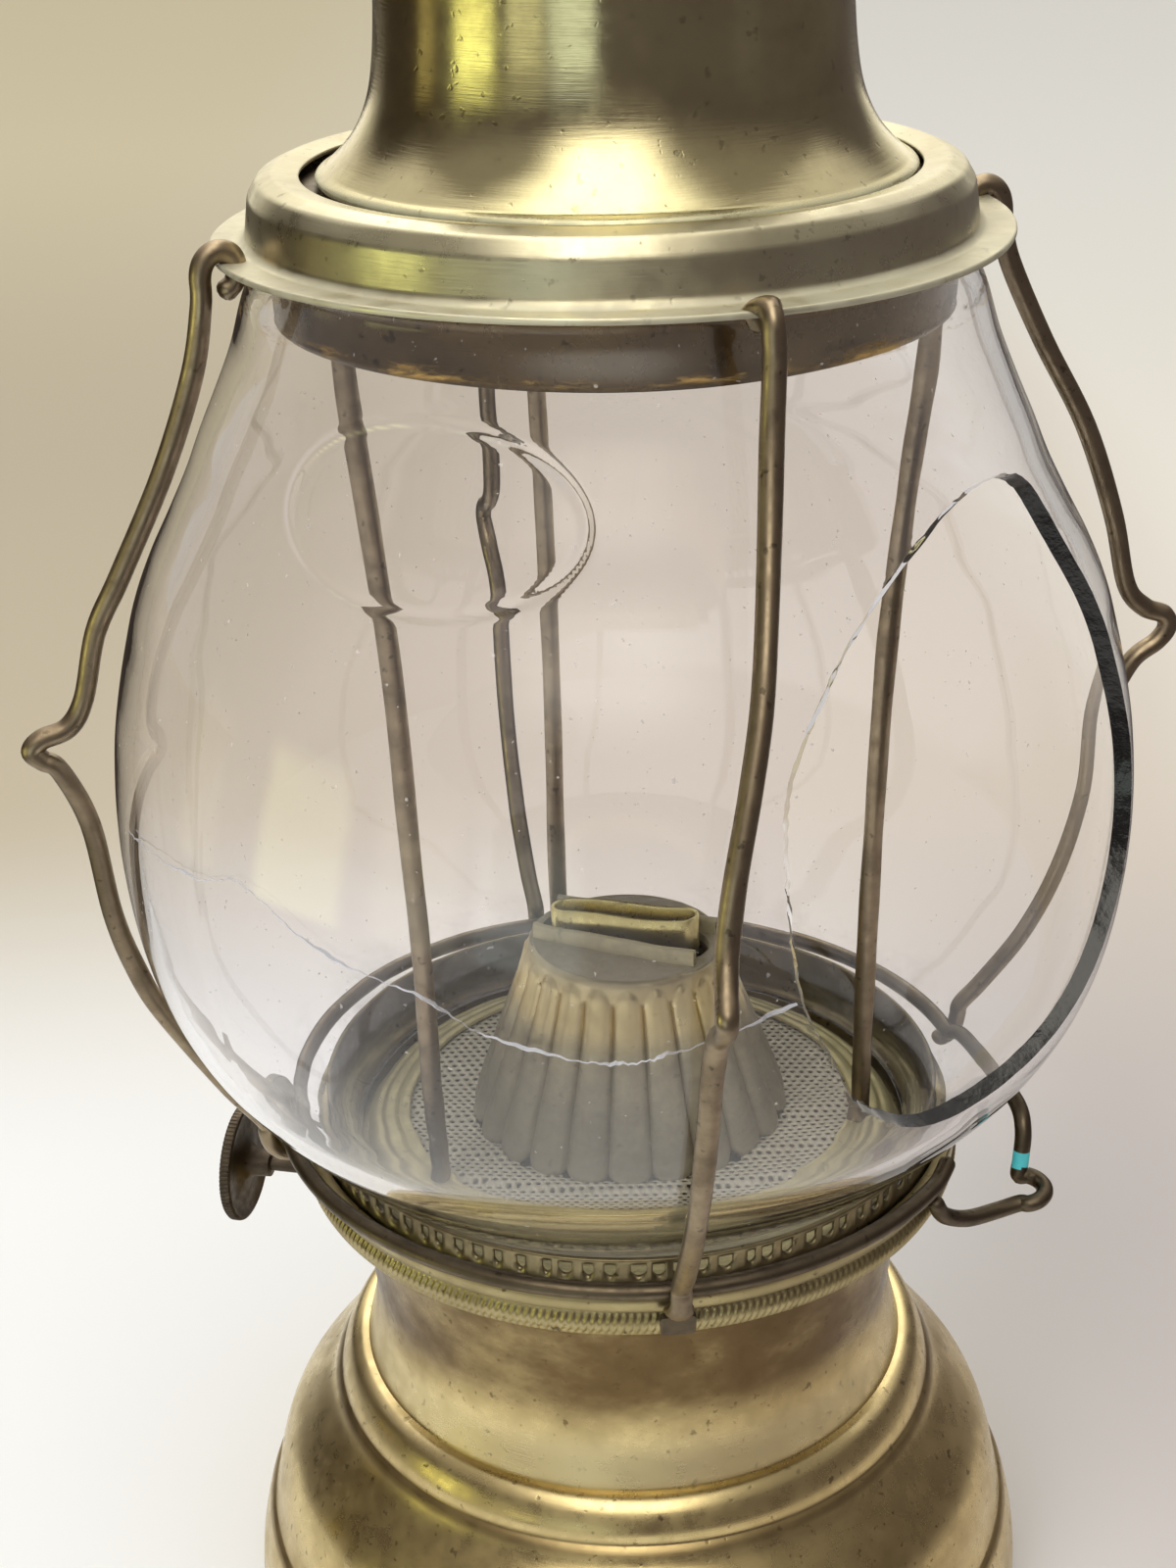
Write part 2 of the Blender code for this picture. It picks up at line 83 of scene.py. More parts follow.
# Directions and sizes that boxes can't give
WICK_AZ, SLOT_AZ = -102.0, -111.0
SPINDLE_OFFSET, SPINDLE_Z = -5.3, 68.7
KNOB_R, KNOB_AT = 10.3, 69.4
TUBE_LONG, TUBE_WIDE, TUBE_WALL = 23.4, 5.3, 0.6
SLOT_LONG, SLOT_WIDE = 27.0, 9.8
FLUTES, SHOULDER_R = 22, 15.1
GLASS = 2.4
RING_R, RING_Z = 54.7, 95.8
RING_FROM, RING_TO = 101.0, 420.0
GUARD_WIRE, RING_WIRE, ROD_WIRE = 1.5, 1.3, 1.5
BAIL_Z, EAR_X = 307.3, 13.0

# The room round the lantern: direction, half width and softness in degrees, and colour
WINDOWS = ((-19, 8, 5, (1.35, 1.5, 1.4)), (-42, 6, 6, (1.05, 1.05, 0.75)),
           (-69, 8, 5, (2.3, 2.35, 1.0)), (-98, 3, 5, (0.5, 0.42, 0.2)),
           (64, 3, 8, (0.16, 0.14, 0.14)))
# Metres from the lantern over which mirror reflections change from the cloth to the room
CLOTH_NEAR, CLOTH_FAR = 0.16, 0.3


# ---------------------------------------------------------------- curves and meshes

def at(radius, z, azimuth):
    """A point in millimetres from a radius, a height and an azimuth in degrees."""
    turn = radians(azimuth)
    return Vector((radius * sin(turn), -radius * cos(turn), z))


def spun(radius, turn, z, centre_x=0.0):
    """A point at an angle round the Z axis, or round a line beside it."""
    return Vector((centre_x + radius * cos(turn), radius * sin(turn), z))


def smooth(points, steps, closed=False):
    """A Catmull-Rom curve through the points."""
    points = [Vector(point) for point in points]
    if closed:
        ends = [points[-1]] + points + points[:2]
    else:
        ends = [points[0] * 2 - points[1]] + points + [points[-1] * 2 - points[-2]]
    made = []
    for a, b, c, d in zip(ends, ends[1:], ends[2:], ends[3:]):
        for i in range(steps):
            t = i / steps
            made.append(0.5 * (2 * b + (c - a) * t + (2 * a - 5 * b + 4 * c - d) * t ** 2
                               + (3 * b - a - 3 * c + d) * t ** 3))
    return made if closed else made + [points[-1]]


def runs(*parts, steps=6):
    """Joins smooth runs of (radius, height) whose shared ends stay corners."""
    made = []
    for part in parts:
        line = smooth(part, steps) if len(part) > 2 else [Vector(point) for point in part]
        made += line if not made or (made[-1] - line[0]).length > 1e-6 else line[1:]
    return made


def shell(outline, wall, rim=4):
    """A closed profile: an outline down the outer side, a wall inside it and rounded rims."""
    inner = []
    for i, point in enumerate(outline):
        first = point - outline[i - 1] if i else outline[1] - point
        second = outline[i + 1] - point if i + 1 < len(outline) else first
        normals = [Vector((way.y, -way.x)).normalized() for way in (first, second)]
        middle = (normals[0] + normals[1]).normalized()
        inner.append(point + middle * wall / max(middle.dot(normals[0]), 0.6))

    def rounded(start, end, outward):
        centre, half = (start + end) / 2, (start - end) / 2
        return [centre + half * cos(pi * i / rim)
                + outward * half.length * sin(pi * i / rim) for i in range(1, rim)]

    down = (outline[-1] - outline[-2]).normalized()
    up = (outline[0] - outline[1]).normalized()
    return (outline + rounded(outline[-1], inner[-1], down) + inner[::-1]
            + rounded(inner[0], outline[0], up))


def bevelled(corners, size, steps=3):
    """A closed profile through corners, each rounded by this size."""
    made = []
    for i, corner in enumerate(corners):
        corner = Vector(corner)
        before = Vector(corners[i - 1]) - corner
        after = Vector(corners[(i + 1) % len(corners)]) - corner
        cut = min(size, before.length * 0.45, after.length * 0.45)
        start, end = corner + before.normalized() * cut, corner + after.normalized() * cut
        for j in range(steps + 1):
            t = j / steps
            made.append(start * (1 - t) ** 2 + corner * 2 * t * (1 - t) + end * t ** 2)
    return made


def mesh_object(name, verts, faces, surface, sharp=40):
    """A smooth-shaded object from points in millimetres."""
    mesh = bpy.data.meshes.new(name)
    mesh.from_pydata([Vector(vert) * MM for vert in verts], [], faces)
    bm = bmesh.new()
    bm.from_mesh(mesh)
    bmesh.ops.remove_doubles(bm, verts=bm.verts, dist=2e-6)
    bmesh.ops.recalc_face_normals(bm, faces=bm.faces)
    bm.to_mesh(mesh)
    bm.free()
    mesh.shade_smooth()
    mesh.set_sharp_from_angle(angle=radians(sharp))
    mesh.materials.append(surface)
    made = bpy.data.objects.new(name, mesh)
    bpy.context.scene.collection.objects.link(made)
    return made


def place(obj, body, slot, *nodes):
    """Puts a piece on its CAD body and hides the CAD nodes that it stands for. The finish slot is not
    used.
    """
    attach(obj, body)
    if nodes:
        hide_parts(*nodes)
    return obj


def grid_faces(rows, columns, closed_rows=True, closed_columns=True, keep=None):
    """Quads of a grid whose point (row, column) has index row * columns + column."""
    faces = []
    for i in range(rows if closed_rows else rows - 1):
        for j in range(columns if closed_columns else columns - 1):
            if keep and not keep(i, j):
                continue
            down, right = (i + 1) % rows, (j + 1) % columns
            faces.append((i * columns + j, down * columns + j, down * columns + right,
                          i * columns + right))
    return faces


def lathe(name, profile, surface, sides=180, ripple=None, centre_x=0.0, matrix=None, sharp=40):
    """A closed profile of (radius, height) turned about Z. ripple changes radius and height."""
    verts = []
    for radius, z in profile:
        for j in range(sides):
            turn = tau * j / sides
            r, h = ripple(radius, z, turn) if ripple else (radius, z)
            verts.append(spun(r, turn, h, centre_x))
    if matrix:
        verts = [matrix @ vert for vert in verts]
    return mesh_object(name, verts, grid_faces(len(profile), sides), surface, sharp)


def tube(name, points, radius, surface, sides=16, side_way=None, flat=None):
    """A wire along points, with rounded ends. flat(t) gives its width and thickness factors."""
    length = len(points)
    verts, across = [], None
    rings = []
    for i, point in enumerate(points):
        way = (points[min(i + 1, length - 1)] - points[max(i - 1, 0)]).normalized()
        if side_way:
            across = side_way(point)
        elif across is None:
            across = Vector((0, 0, 1)) if abs(way.z) < 0.8 else Vector((1, 0, 0))
        across = (across - way * across.dot(way)).normalized()
        other = way.cross(across)
        wide, thick = flat(i / (length - 1)) if flat else (1.0, 1.0)
        rings.append((point, way, across, other, wide, thick))
    start, end = rings[0], rings[-1]
    sections = [(start, -radius * 0.8 * k, sqrt(1 - k * k)) for k in (0.995, 0.85, 0.5)]
    sections += [(ring, 0.0, 1.0) for ring in rings]
    sections += [(end, radius * 0.8 * k, sqrt(1 - k * k)) for k in (0.5, 0.85, 0.995)]
    for (point, way, across, other, wide, thick), along, size in sections:
        for j in range(sides):
            turn = tau * j / sides
            verts.append(point + way * along
                         + across * (radius * wide * size * cos(turn))
                         + other * (radius * thick * size * sin(turn)))
    faces = grid_faces(len(sections), sides, closed_rows=False)
    faces.append(tuple(range(sides)))
    faces.append(tuple(range((len(sections) - 1) * sides, len(sections) * sides))[::-1])
    return mesh_object(name, verts, faces, surface)


def oval(long, wide, steps=10, straight=10):
    """Points round a flat oval with round ends, long along X."""
    end = wide / 2
    points = []
    for side in (1, -1):
        for i in range(1, straight):
            x = (long / 2 - end) * (2 * i / straight - 1)
            points.append(Vector((side * x, -side * end, 0)))
        for i in range(steps + 1):
            turn = radians(-90 + 180 * i / steps) + (pi if side < 0 else 0)
            points.append(Vector((side * (long / 2 - end) + end * cos(turn),
                                  end * sin(turn), 0)))
    return points


def turned_about_z(azimuth):
    """Faces local +X towards an azimuth."""
    return Matrix.Rotation(radians(azimuth - 90), 4, "Z")


def loft(name, sections, surface, matrix=None, closed=False, sharp=40):
    """Joins rings of points, all with the same count."""
    columns = len(sections[0])
    verts = [vert for section in sections for vert in section]
    if matrix:
        verts = [matrix @ vert for vert in verts]
    faces = grid_faces(len(sections), columns, closed_rows=closed)
    if not closed:
        faces.append(tuple(range(columns)))
        faces.append(tuple(range(len(verts) - columns, len(verts)))[::-1])
    return mesh_object(name, verts, faces, surface, sharp)


def give_wall(obj, thickness):
    """Thickens a sheet inwards, in millimetres."""
    wall = obj.modifiers.new("wall", "SOLIDIFY")
    wall.thickness = thickness * MM
    wall.offset = -1


def pierced(name, line, spokes, rows, lift, surface, centre_x=0.0):
    """A sheet turned about Z with a row of windows between two of its heights.

    A spoke is (turn, place across its window from -1 to 1 or None, whether it is open).
    """
    columns = len(spokes)
    verts = []
    for i, (radius, z) in enumerate(line):
        for turn, across, _ in spokes:
            rise = 0.0 if across is None else lift(i, across)
            verts.append(spun(radius, turn, z + rise, centre_x))

    def keep(i, j):
        if not rows[0] <= i < rows[1]:
            return True
        return spokes[j][1] is None or spokes[(j + 1) % columns][1] is None or not spokes[j][2]

    return mesh_object(name, verts, grid_faces(len(line), columns, closed_rows=False, keep=keep),
                       surface)


def wander(turn, seed, size):
    """A small smooth irregularity round a turn."""
    return size * (sin(2 * turn + seed) + 0.6 * sin(3 * turn + 2.3 * seed)
                   + 0.4 * sin(5 * turn + 4.1 * seed)) / 2


# ---------------------------------------------------------------- materials

def node(tree, kind, links=None, **settings):
    """Adds a shader node. links gives each input a value or the output that feeds it."""
    made = tree.nodes.new("ShaderNode" + kind)
    for key, value in settings.items():
        setattr(made, key, value)
    for key, value in (links or {}).items():
        feed(tree, made.inputs[key], value)
    return made


def rgb(colour):
    """Adds full opacity to a colour."""
    return (*colour, 1.0)


def new_material(name):
    made = bpy.data.materials.new(name)
    made.use_nodes = True
    return made, made.node_tree, made.node_tree.nodes["Principled BSDF"]


def mix(tree, share, first, second):
    """Mixes the surfaces of two shader nodes."""
    return node(tree, "MixShader", {0: share, 1: first.outputs[0], 2: second.outputs[0]})


def finish(tree, last):
    """Gives a material its last shader node."""
    tree.links.new(last.outputs[0], tree.nodes["Material Output"].inputs["Surface"])


def object_place(tree, scale=(1, 1, 1)):
    """Where a point is on the lantern, in metres, stretched by scale."""
    spot = node(tree, "TexCoord").outputs["Object"]
    return node(tree, "Mapping", {"Vector": spot, "Scale": scale}).outputs["Vector"]


def noise(tree, scale, detail=4.0, rough=0.55, stretch=(1, 1, 1)):
    return node(tree, "TexNoise", {
        "Vector": object_place(tree, stretch), "Scale": scale, "Detail": detail,
        "Roughness": rough}).outputs["Fac"]


def steps_of(tree, value, low, high, to_low=0.0, to_high=1.0):
    """Maps low..high smoothly to to_low..to_high."""
    return node(tree, "MapRange", {
        "Value": value, "From Min": low, "From Max": high, "To Min": to_low,
        "To Max": to_high}, interpolation_type="SMOOTHSTEP").outputs["Result"]


def feed(tree, socket, value):
    """Gives an input a value, or the output that feeds it."""
    if isinstance(value, bpy.types.NodeSocket):
        tree.links.new(value, socket)
    else:
        socket.default_value = value


def blend(tree, factor, first, second):
    """Mixes two colours."""
    made = node(tree, "Mix", data_type="RGBA")
    for key, value in (("Factor", factor), ("A", first), ("B", second)):
        feed(tree, next(s for s in made.inputs if s.name == key and s.enabled), value)
    return next(s for s in made.outputs if s.enabled)


def calc(tree, way, first, second=0.0):
    """A sum on one or two values."""
    made = node(tree, "Math", operation=way)
    for socket, value in zip(made.inputs, (first, second)):
        feed(tree, socket, value)
    return made.outputs[0]


def height_mask(tree, low, high, soft):
    """1 between two heights on the lantern (millimetres), fading over soft."""
    spot = node(tree, "TexCoord").outputs["Object"]
    z = node(tree, "SeparateXYZ", {"Vector": spot}).outputs["Z"]
    rise = steps_of(tree, z, (low - soft) * MM, (low + soft) * MM)
    fall = steps_of(tree, z, (high - soft) * MM, (high + soft) * MM, 1.0, 0.0)
    return calc(tree, "MULTIPLY", rise, fall)


def metal(name, base, patina, amount=0.5, rough=(0.22, 0.42), brush=0.5, specks=0.35,
          bump=0.25, scale=1.0, aniso=0.0, bands=(), dust=None):
    """Worn brass: clouds of patina, round brushing, dark specks and shallow dents.

    bands are (low, high, soft, colour, strength, extra roughness) between heights; some carry painted
    shade and painted highlights.
    dust is (low, high, soft, colour, amount) of a dull layer that isn't metallic.
    """
    made, tree, shader = new_material(name)
    clouds = noise(tree, 38 * scale, 5, 0.62, (1, 1, 1.6))
    fine = noise(tree, 210 * scale, 4, 0.65)
    grain = noise(tree, 160, 3, 0.6, (1, 1, 22))
    speck = noise(tree, 620, 2, 0.5)
    patch = steps_of(tree, clouds, 0.5 - 0.32 * amount, 0.86 - 0.2 * amount)
    colour = blend(tree, patch, rgb(base), rgb(patina))
    tint = blend(tree, fine, rgb([min(c * 1.16, 1) for c in base]), rgb([c * 0.74 for c in base]))
    colour = blend(tree, 0.42, colour, tint)
    dark = tuple(c * 0.35 for c in patina)
    spots = steps_of(tree, speck, 0.66 - 0.06 * specks, 0.74)
    colour = blend(tree, calc(tree, "MULTIPLY", spots, specks * 1.6), colour, rgb(dark))
    rough_now = steps_of(tree, fine, 0.3, 0.72, rough[0], rough[1])
    rough_now = calc(tree, "ADD", rough_now, calc(tree, "MULTIPLY", patch, 0.1))
    for low, high, soft, band_colour, strength, extra in bands:
        mask = calc(tree, "MULTIPLY", height_mask(tree, low, high, soft), strength)
        mottled = calc(tree, "MULTIPLY", mask, steps_of(tree, clouds, 0.2, 0.55, 0.45, 1.0))
        colour = blend(tree, mottled, colour, rgb(band_colour))
        rough_now = calc(tree, "ADD", rough_now, calc(tree, "MULTIPLY", mask, extra))
    shader.inputs["Metallic"].default_value = 1.0
    if dust:
        low, high, soft, dust_colour, thick = dust
        layer = calc(tree, "MULTIPLY", height_mask(tree, low, high, soft),
                     steps_of(tree, fine, 0.3, 0.6, thick * 0.5, thick))
        colour = blend(tree, layer, colour, rgb(dust_colour))
        rough_now = calc(tree, "ADD", rough_now, calc(tree, "MULTIPLY", layer, 0.35))
        tree.links.new(calc(tree, "SUBTRACT", 1.0, layer), shader.inputs["Metallic"])
    tree.links.new(colour, shader.inputs["Base Color"])
    tree.links.new(rough_now, shader.inputs["Roughness"])
    if aniso:
        shader.inputs["Anisotropic"].default_value = aniso
        shader.inputs["Anisotropic Rotation"].default_value = 0.25
        way = node(tree, "Tangent", direction_type="RADIAL", axis="Z")
        tree.links.new(way.outputs["Tangent"], shader.inputs["Tangent"])
    height = calc(tree, "ADD", calc(tree, "MULTIPLY", grain, brush),
                  calc(tree, "MULTIPLY", fine, 0.5))
    height = calc(tree, "SUBTRACT", height, calc(tree, "MULTIPLY", spots, 0.5))
    dents = node(tree, "Bump", {"Height": height, "Strength": bump,
                                "Distance": 0.00012})
    tree.links.new(dents.outputs["Normal"], shader.inputs["Normal"])
    return made


def plain(name, base, second, rough, metallic=0.0, scale=400, bump=0.3, distance=0.0002):
    """A simple mottled surface."""
    made, tree, shader = new_material(name)
    cloud = noise(tree, scale, 5, 0.6)
    tree.links.new(blend(tree, cloud, rgb(base), rgb(second)), shader.inputs["Base Color"])
    tree.links.new(steps_of(tree, cloud, 0.3, 0.7, rough * 0.8, min(rough * 1.2, 1)),
                   shader.inputs["Roughness"])
    shader.inputs["Metallic"].default_value = metallic
    dents = node(tree, "Bump", {"Height": cloud, "Strength": bump,
                                "Distance": distance})
    tree.links.new(dents.outputs["Normal"], shader.inputs["Normal"])
    return made


def glass_material(name, tint, dirt_and_painted_haze=True):
    """Clear glass that lets light through, with brown deposits by the skirt, dust specks and a pale
    haze at its foot that is a painted reflection.
    """
    made, tree, shader = new_material(name)
    shader.inputs["Base Color"].default_value = rgb(tint)
    shader.inputs["Roughness"].default_value = 0.0
    shader.inputs["IOR"].default_value = 1.48
    shader.inputs["Transmission Weight"].default_value = 1.0
    if dirt_and_painted_haze:
        line = height_mask(tree, 223.8, 224.5, 0.35)
        broken = steps_of(tree, noise(tree, 70, 5, 0.7, (1, 1, 5)), 0.46, 0.6)
        # The pale haze at the foot is a painted reflection of the bright background; the fine specks
        # are dust.
        foot = height_mask(tree, 80, 101, 6.0)
        painted_haze_wisps = steps_of(tree, noise(tree, 60, 6, 0.7, (1, 1, 2.5)), 0.42, 0.75)
        specks = steps_of(tree, noise(tree, 900, 2, 0.5), 0.735, 0.76)
        dirt = node(tree, "BsdfDiffuse", {"Color": rgb((0.42, 0.27, 0.1))})
        dust = node(tree, "BsdfDiffuse", {"Color": rgb((0.6, 0.56, 0.52))})
        dirty = calc(tree, "MULTIPLY", calc(tree, "MULTIPLY", line, broken), 0.75)
        shader = mix(tree, dirty, shader, dirt)
        # One pale layer: the foot's painted reflection plus the dust specks.
        amount = calc(tree, "ADD", calc(tree, "MULTIPLY", foot, calc(tree, "MULTIPLY", painted_haze_wisps, 0.3)),
                      calc(tree, "MULTIPLY", specks, 0.5))
        shader = mix(tree, amount, shader, dust)
    clear = node(tree, "BsdfTransparent", {"Color": rgb([c ** 0.5 for c in tint])})
    path = node(tree, "LightPath")
    finish(tree, mix(tree, path.outputs["Is Shadow Ray"], shader, clear))
    return made


def crack_material(name):
    """The crack's face: white where it catches the light, clear between."""
    made, tree, shader = new_material(name)
    shader.inputs["Base Color"].default_value = rgb((0.9, 0.9, 0.92))
    shader.inputs["Roughness"].default_value = 0.2
    share = steps_of(tree, noise(tree, 130, 3, 0.6), 0.4, 0.6, 0.2, 0.95)
    finish(tree, mix(tree, share, node(tree, "BsdfTransparent"), shader))
    return made


bell_brass = metal("bell_brass", (0.7, 0.56, 0.27), (0.3, 0.21, 0.1), 0.42, (0.2, 0.34),
                   brush=0.35, specks=0.4, aniso=0.3,
                   # The band from 62 to 92 is dark patina with painted shade under the flange.
                   bands=[(62, 92, 5, (0.13, 0.08, 0.035), 0.92, 0.05),
                          # The bright band from 50 to 58 is a painted highlight.
                          (50, 58, 3, (0.84, 0.72, 0.42), 0.6, 0.04),
                          (42.6, 44.6, 0.5, (0.22, 0.15, 0.07), 0.7, 0.1),
                          (17.2, 18.8, 0.5, (0.22, 0.15, 0.07), 0.7, 0.1)])
knurl_brass = metal("knurl_brass", (0.44, 0.37, 0.19), (0.26, 0.2, 0.1), 0.45, (0.24, 0.4),
                    brush=0.2, specks=0.5)
drive_brass = metal("drive_brass", (0.12, 0.095, 0.07), (0.055, 0.045, 0.038), 0.6, (0.4, 0.6),
                    brush=0.2, specks=0.4, scale=2.0)
tube_brass = metal("tube_brass", (0.74, 0.65, 0.3), (0.42, 0.34, 0.15), 0.4, (0.22, 0.36),
                   brush=0.05, specks=0.35, scale=2.5, bump=0.08)
lip_brass = metal("lip_brass", (0.6, 0.53, 0.3), (0.34, 0.29, 0.19), 0.55, (0.28, 0.42),
                  brush=0.05, specks=0.3, scale=2.5, bump=0.1,
                  dust=(120, 126, 1, (0.34, 0.31, 0.24), 0.5))
cone_brass = metal("cone_brass", (0.46, 0.41, 0.27), (0.3, 0.26, 0.19), 0.5, (0.3, 0.46),
                   brush=0.05, specks=0.25, scale=2.5, bump=0.15,
                   # The gold band from 112 to 121 is a painted highlight on the rib heads.
                   bands=[(112, 121, 3, (0.86, 0.7, 0.34), 0.6, -0.08)],
                   dust=(86, 110, 5, (0.33, 0.3, 0.25), 0.42))
shoulder_brass = metal("shoulder_brass", (0.46, 0.41, 0.27), (0.34, 0.3, 0.22), 0.5, (0.4, 0.5),
                       brush=0.0, specks=0.25, scale=2.5, bump=0.3,
                       dust=(115, 126, 1.5, (0.24, 0.21, 0.15), 0.8))
gallery_brass = metal("gallery_brass", (0.74, 0.66, 0.34), (0.52, 0.46, 0.24), 0.5,
                      (0.26, 0.42), brush=0.3, specks=0.3, scale=1.6,
                      dust=(88, 93, 1, (0.52, 0.47, 0.3), 0.4))
cup_brass = metal("cup_brass", (0.36, 0.3, 0.17), (0.17, 0.13, 0.07), 0.55, (0.28, 0.46),
                  brush=0.3, specks=0.5, scale=1.4)
tinned_plate = metal("tinned_plate", (0.76, 0.72, 0.56), (0.6, 0.55, 0.4), 0.4, (0.34, 0.5),
                     brush=0.0, specks=0.2, scale=3, dust=(88, 93, 1, (0.56, 0.52, 0.4), 0.5))
collar_brass = metal("collar_brass", (0.64, 0.6, 0.42), (0.34, 0.29, 0.19), 0.45, (0.24, 0.36),
                     brush=0.5, specks=0.25, aniso=0.35,
                     dust=(231, 233.2, 0.4, (0.5, 0.48, 0.38), 0.45))
skirt_brass = metal("skirt_brass", (0.12, 0.08, 0.035), (0.05, 0.03, 0.016), 0.5, (0.2, 0.34),
                    brush=0.5, specks=0.4, aniso=0.3)
wire_brass = metal("wire_brass", (0.34, 0.27, 0.18), (0.16, 0.122, 0.085), 0.5, (0.28, 0.46),
                   brush=0.0, specks=0.35, scale=2.5)
dark_wire = metal("dark_wire", (0.17, 0.135, 0.09), (0.07, 0.055, 0.04), 0.5, (0.32, 0.5),
                  brush=0.0, specks=0.35, scale=2.5)
hood_brass = metal("hood_brass", (0.62, 0.56, 0.32), (0.3, 0.235, 0.14), 0.42, (0.12, 0.22),
                   brush=0.6, specks=0.2, aniso=0.5,
                   dust=(239, 241.0, 0.5, (0.4, 0.41, 0.3), 0.6))
cotton = plain("cotton_weave", (0.62, 0.56, 0.44), (0.8, 0.75, 0.64), 0.95, scale=900, bump=0.8)
charred = plain("charred_wick", (0.02, 0.018, 0.016), (0.09, 0.07, 0.05), 0.95, scale=900,
                bump=0.9)
turquoise = plain("turquoise_spot", (0.06, 0.46, 0.5), (0.1, 0.56, 0.58), 0.5, scale=300)
clear_glass = glass_material("clear_glass", (0.975, 0.965, 0.98))
# A near-black surface for the break's dark side: a painted dark reflection.
fracture_painted_dark_reflection = plain("fracture_painted_dark_reflection", (0.002, 0.002, 0.002), (0.01, 0.009, 0.008), 0.16,
                      scale=260, bump=0.5, distance=0.0006)
fracture_light = glass_material("fracture_light", (0.93, 0.92, 0.94), dirt_and_painted_haze=False)
crack_white = crack_material("crack_white")


# ---------------------------------------------------------------- base and burner

def make_bell():
    """The spun bell and the plate under it."""
    flange = foot_of("gallery_cup") - 1.3
    outline = runs([(49.4, flange), (45.2, flange)],
                   [(45.2, flange), (44.4, 83.5), (43.4, 75), (42.7, 67), (42.3, 62), (42.8, 57),
                    (44.3, 50.6)],
                   [(44.3, 50.6), (45.8, 50.3), (47.3, 49.0), (48.6, 46.4), (49.1, 44.2)],
                   [(49.1, 44.2), (49.9, 43.3), (51.3, 41.0), (54.6, 37), (58.4, 32),
                    (60.4, 27), (61.5, 22), (62.2, 18.7)],
                   [(62.2, 18.7), (63.2, 17.6), (64.1, 14.6), (65.0, 10), (65.4, 6)],
                   [(65.4, 6), (65.5, 3.2), (65.45, 1.2), (64.8, 0.25)])
    bell = lathe("bell", shell(outline, 0.9), bell_brass, 240,
                 lambda r, z, turn: (r + wander(turn, z / 30, 0.12), z))
    place(bell, "base", "bell_brass", "font_bell")
    plate = bevelled([(0, 0.3), (8, 0.3), (9, 0.9), (56, 0.9), (57, 0.1), (63, 0.1), (63, 1.2),
                      (0, 1.2)], 0.4)
    place(lathe("base_plate_spun", plate, bell_brass, 120), "base", "bell_brass", "base_plate")


def make_lock_ring():
    """A plain bright band over a rounded bead with slanting flutes."""
    teeth, per_tooth, rows = 300, 6, 12
    low, high = LOCK_Z + 0.35, LOCK_Z + 3.9
    bead = []
    for i in range(rows + 1):
        t = i / rows
        bead.append((LOCK_R - 1.0 + sin(pi * (0.12 + 0.76 * t)), high - (high - low) * t))
    inner = LOCK_R - 2.1
    profile = [(LOCK_R - 0.5, LOCK_TOP_Z), (LOCK_R - 0.35, LOCK_TOP_Z - 0.15),
               (LOCK_R - 0.3, high + 0.5), (LOCK_R - 0.7, high + 0.2)] + bead
    profile += [(LOCK_R - 0.75, LOCK_Z + 0.1), (LOCK_R - 1.0, LOCK_Z), (46.6, LOCK_Z),
                (46.5, LOCK_Z + 0.15), (46.6, LOCK_Z + 0.3), (inner, LOCK_Z + 0.3),
                (inner, LOCK_TOP_Z)]

    def knurl(radius, z, turn):
        if radius < inner + 0.5 or not low - 0.01 <= z <= high + 0.01:
            return radius, z
        edge = min(z - low, high - z, 0.35) / 0.35
        wave = sin(turn * teeth - (z - low) * 1.6)
        return radius - 0.3 * edge * (0.5 - 0.5 * wave), z

    ring = lathe("lock_ring_knurled", profile, knurl_brass,
                 teeth * per_tooth, knurl, sharp=70)
    place(ring, "lock_ring", "bell_brass", "knurled_ring")


def make_wick_tube():
    """The oval tube, a little uneven at its top."""
    foot, steps, uneven = foot_of("wick_tube"), 24, 10
    outer, inner = [], []
    for i in range(steps + 1):
        z = foot + (TUBE_TOP_Z - foot) * i / steps
        near_top = max(0.0, 1 - (TUBE_TOP_Z - z) / uneven)
        for points, shrink in ((outer, 0.0), (inner, 2 * TUBE_WALL)):
            ring = oval(TUBE_LONG - shrink, TUBE_WIDE - shrink)
            points.append([Vector((p.x, p.y * (1 + 0.07 * near_top * cos(p.x / 4.2)),
                                   z + near_top ** 4 * 0.25 * sin(p.x / 3))) for p in ring])
    rim = [[(a * (1 - t) + b * t) + Vector((0, 0, 0.28 * sin(pi * t)))
            for a, b in zip(outer[-1], inner[-1])] for t in (0.2, 0.5, 0.8)]
    made = loft("wick_tube_oval", outer + rim + inner[::-1], tube_brass, turned_about_z(WICK_AZ),
                True)
    place(made, "base", "tube_brass", "wick_tube")


def make_wick():
    """The woven wick, charred at its end."""
    foot, count, charred_length = foot_of("wick"), 120, 2.2
    rings = []
    for i in range(count + 1):
        z = foot + (WICK_TOP_Z - foot) * i / count
        row = sin(i * 1.7)
        rings.append([Vector((p.x * (1 + 0.01 * row), p.y * (1 + 0.14 * row * cos(p.x * 3.1)), z))
                      for p in oval(21.4, 2.4, 4)])
    wick = loft("wick_woven", rings, cotton, turned_about_z(WICK_AZ))
    wick.data.materials.append(charred)
    for face in wick.data.polygons:
        if face.center.z > (WICK_TOP_Z - charred_length) * MM:
            face.material_index = 1
    place(wick, "wick_body", "cotton", "wick")


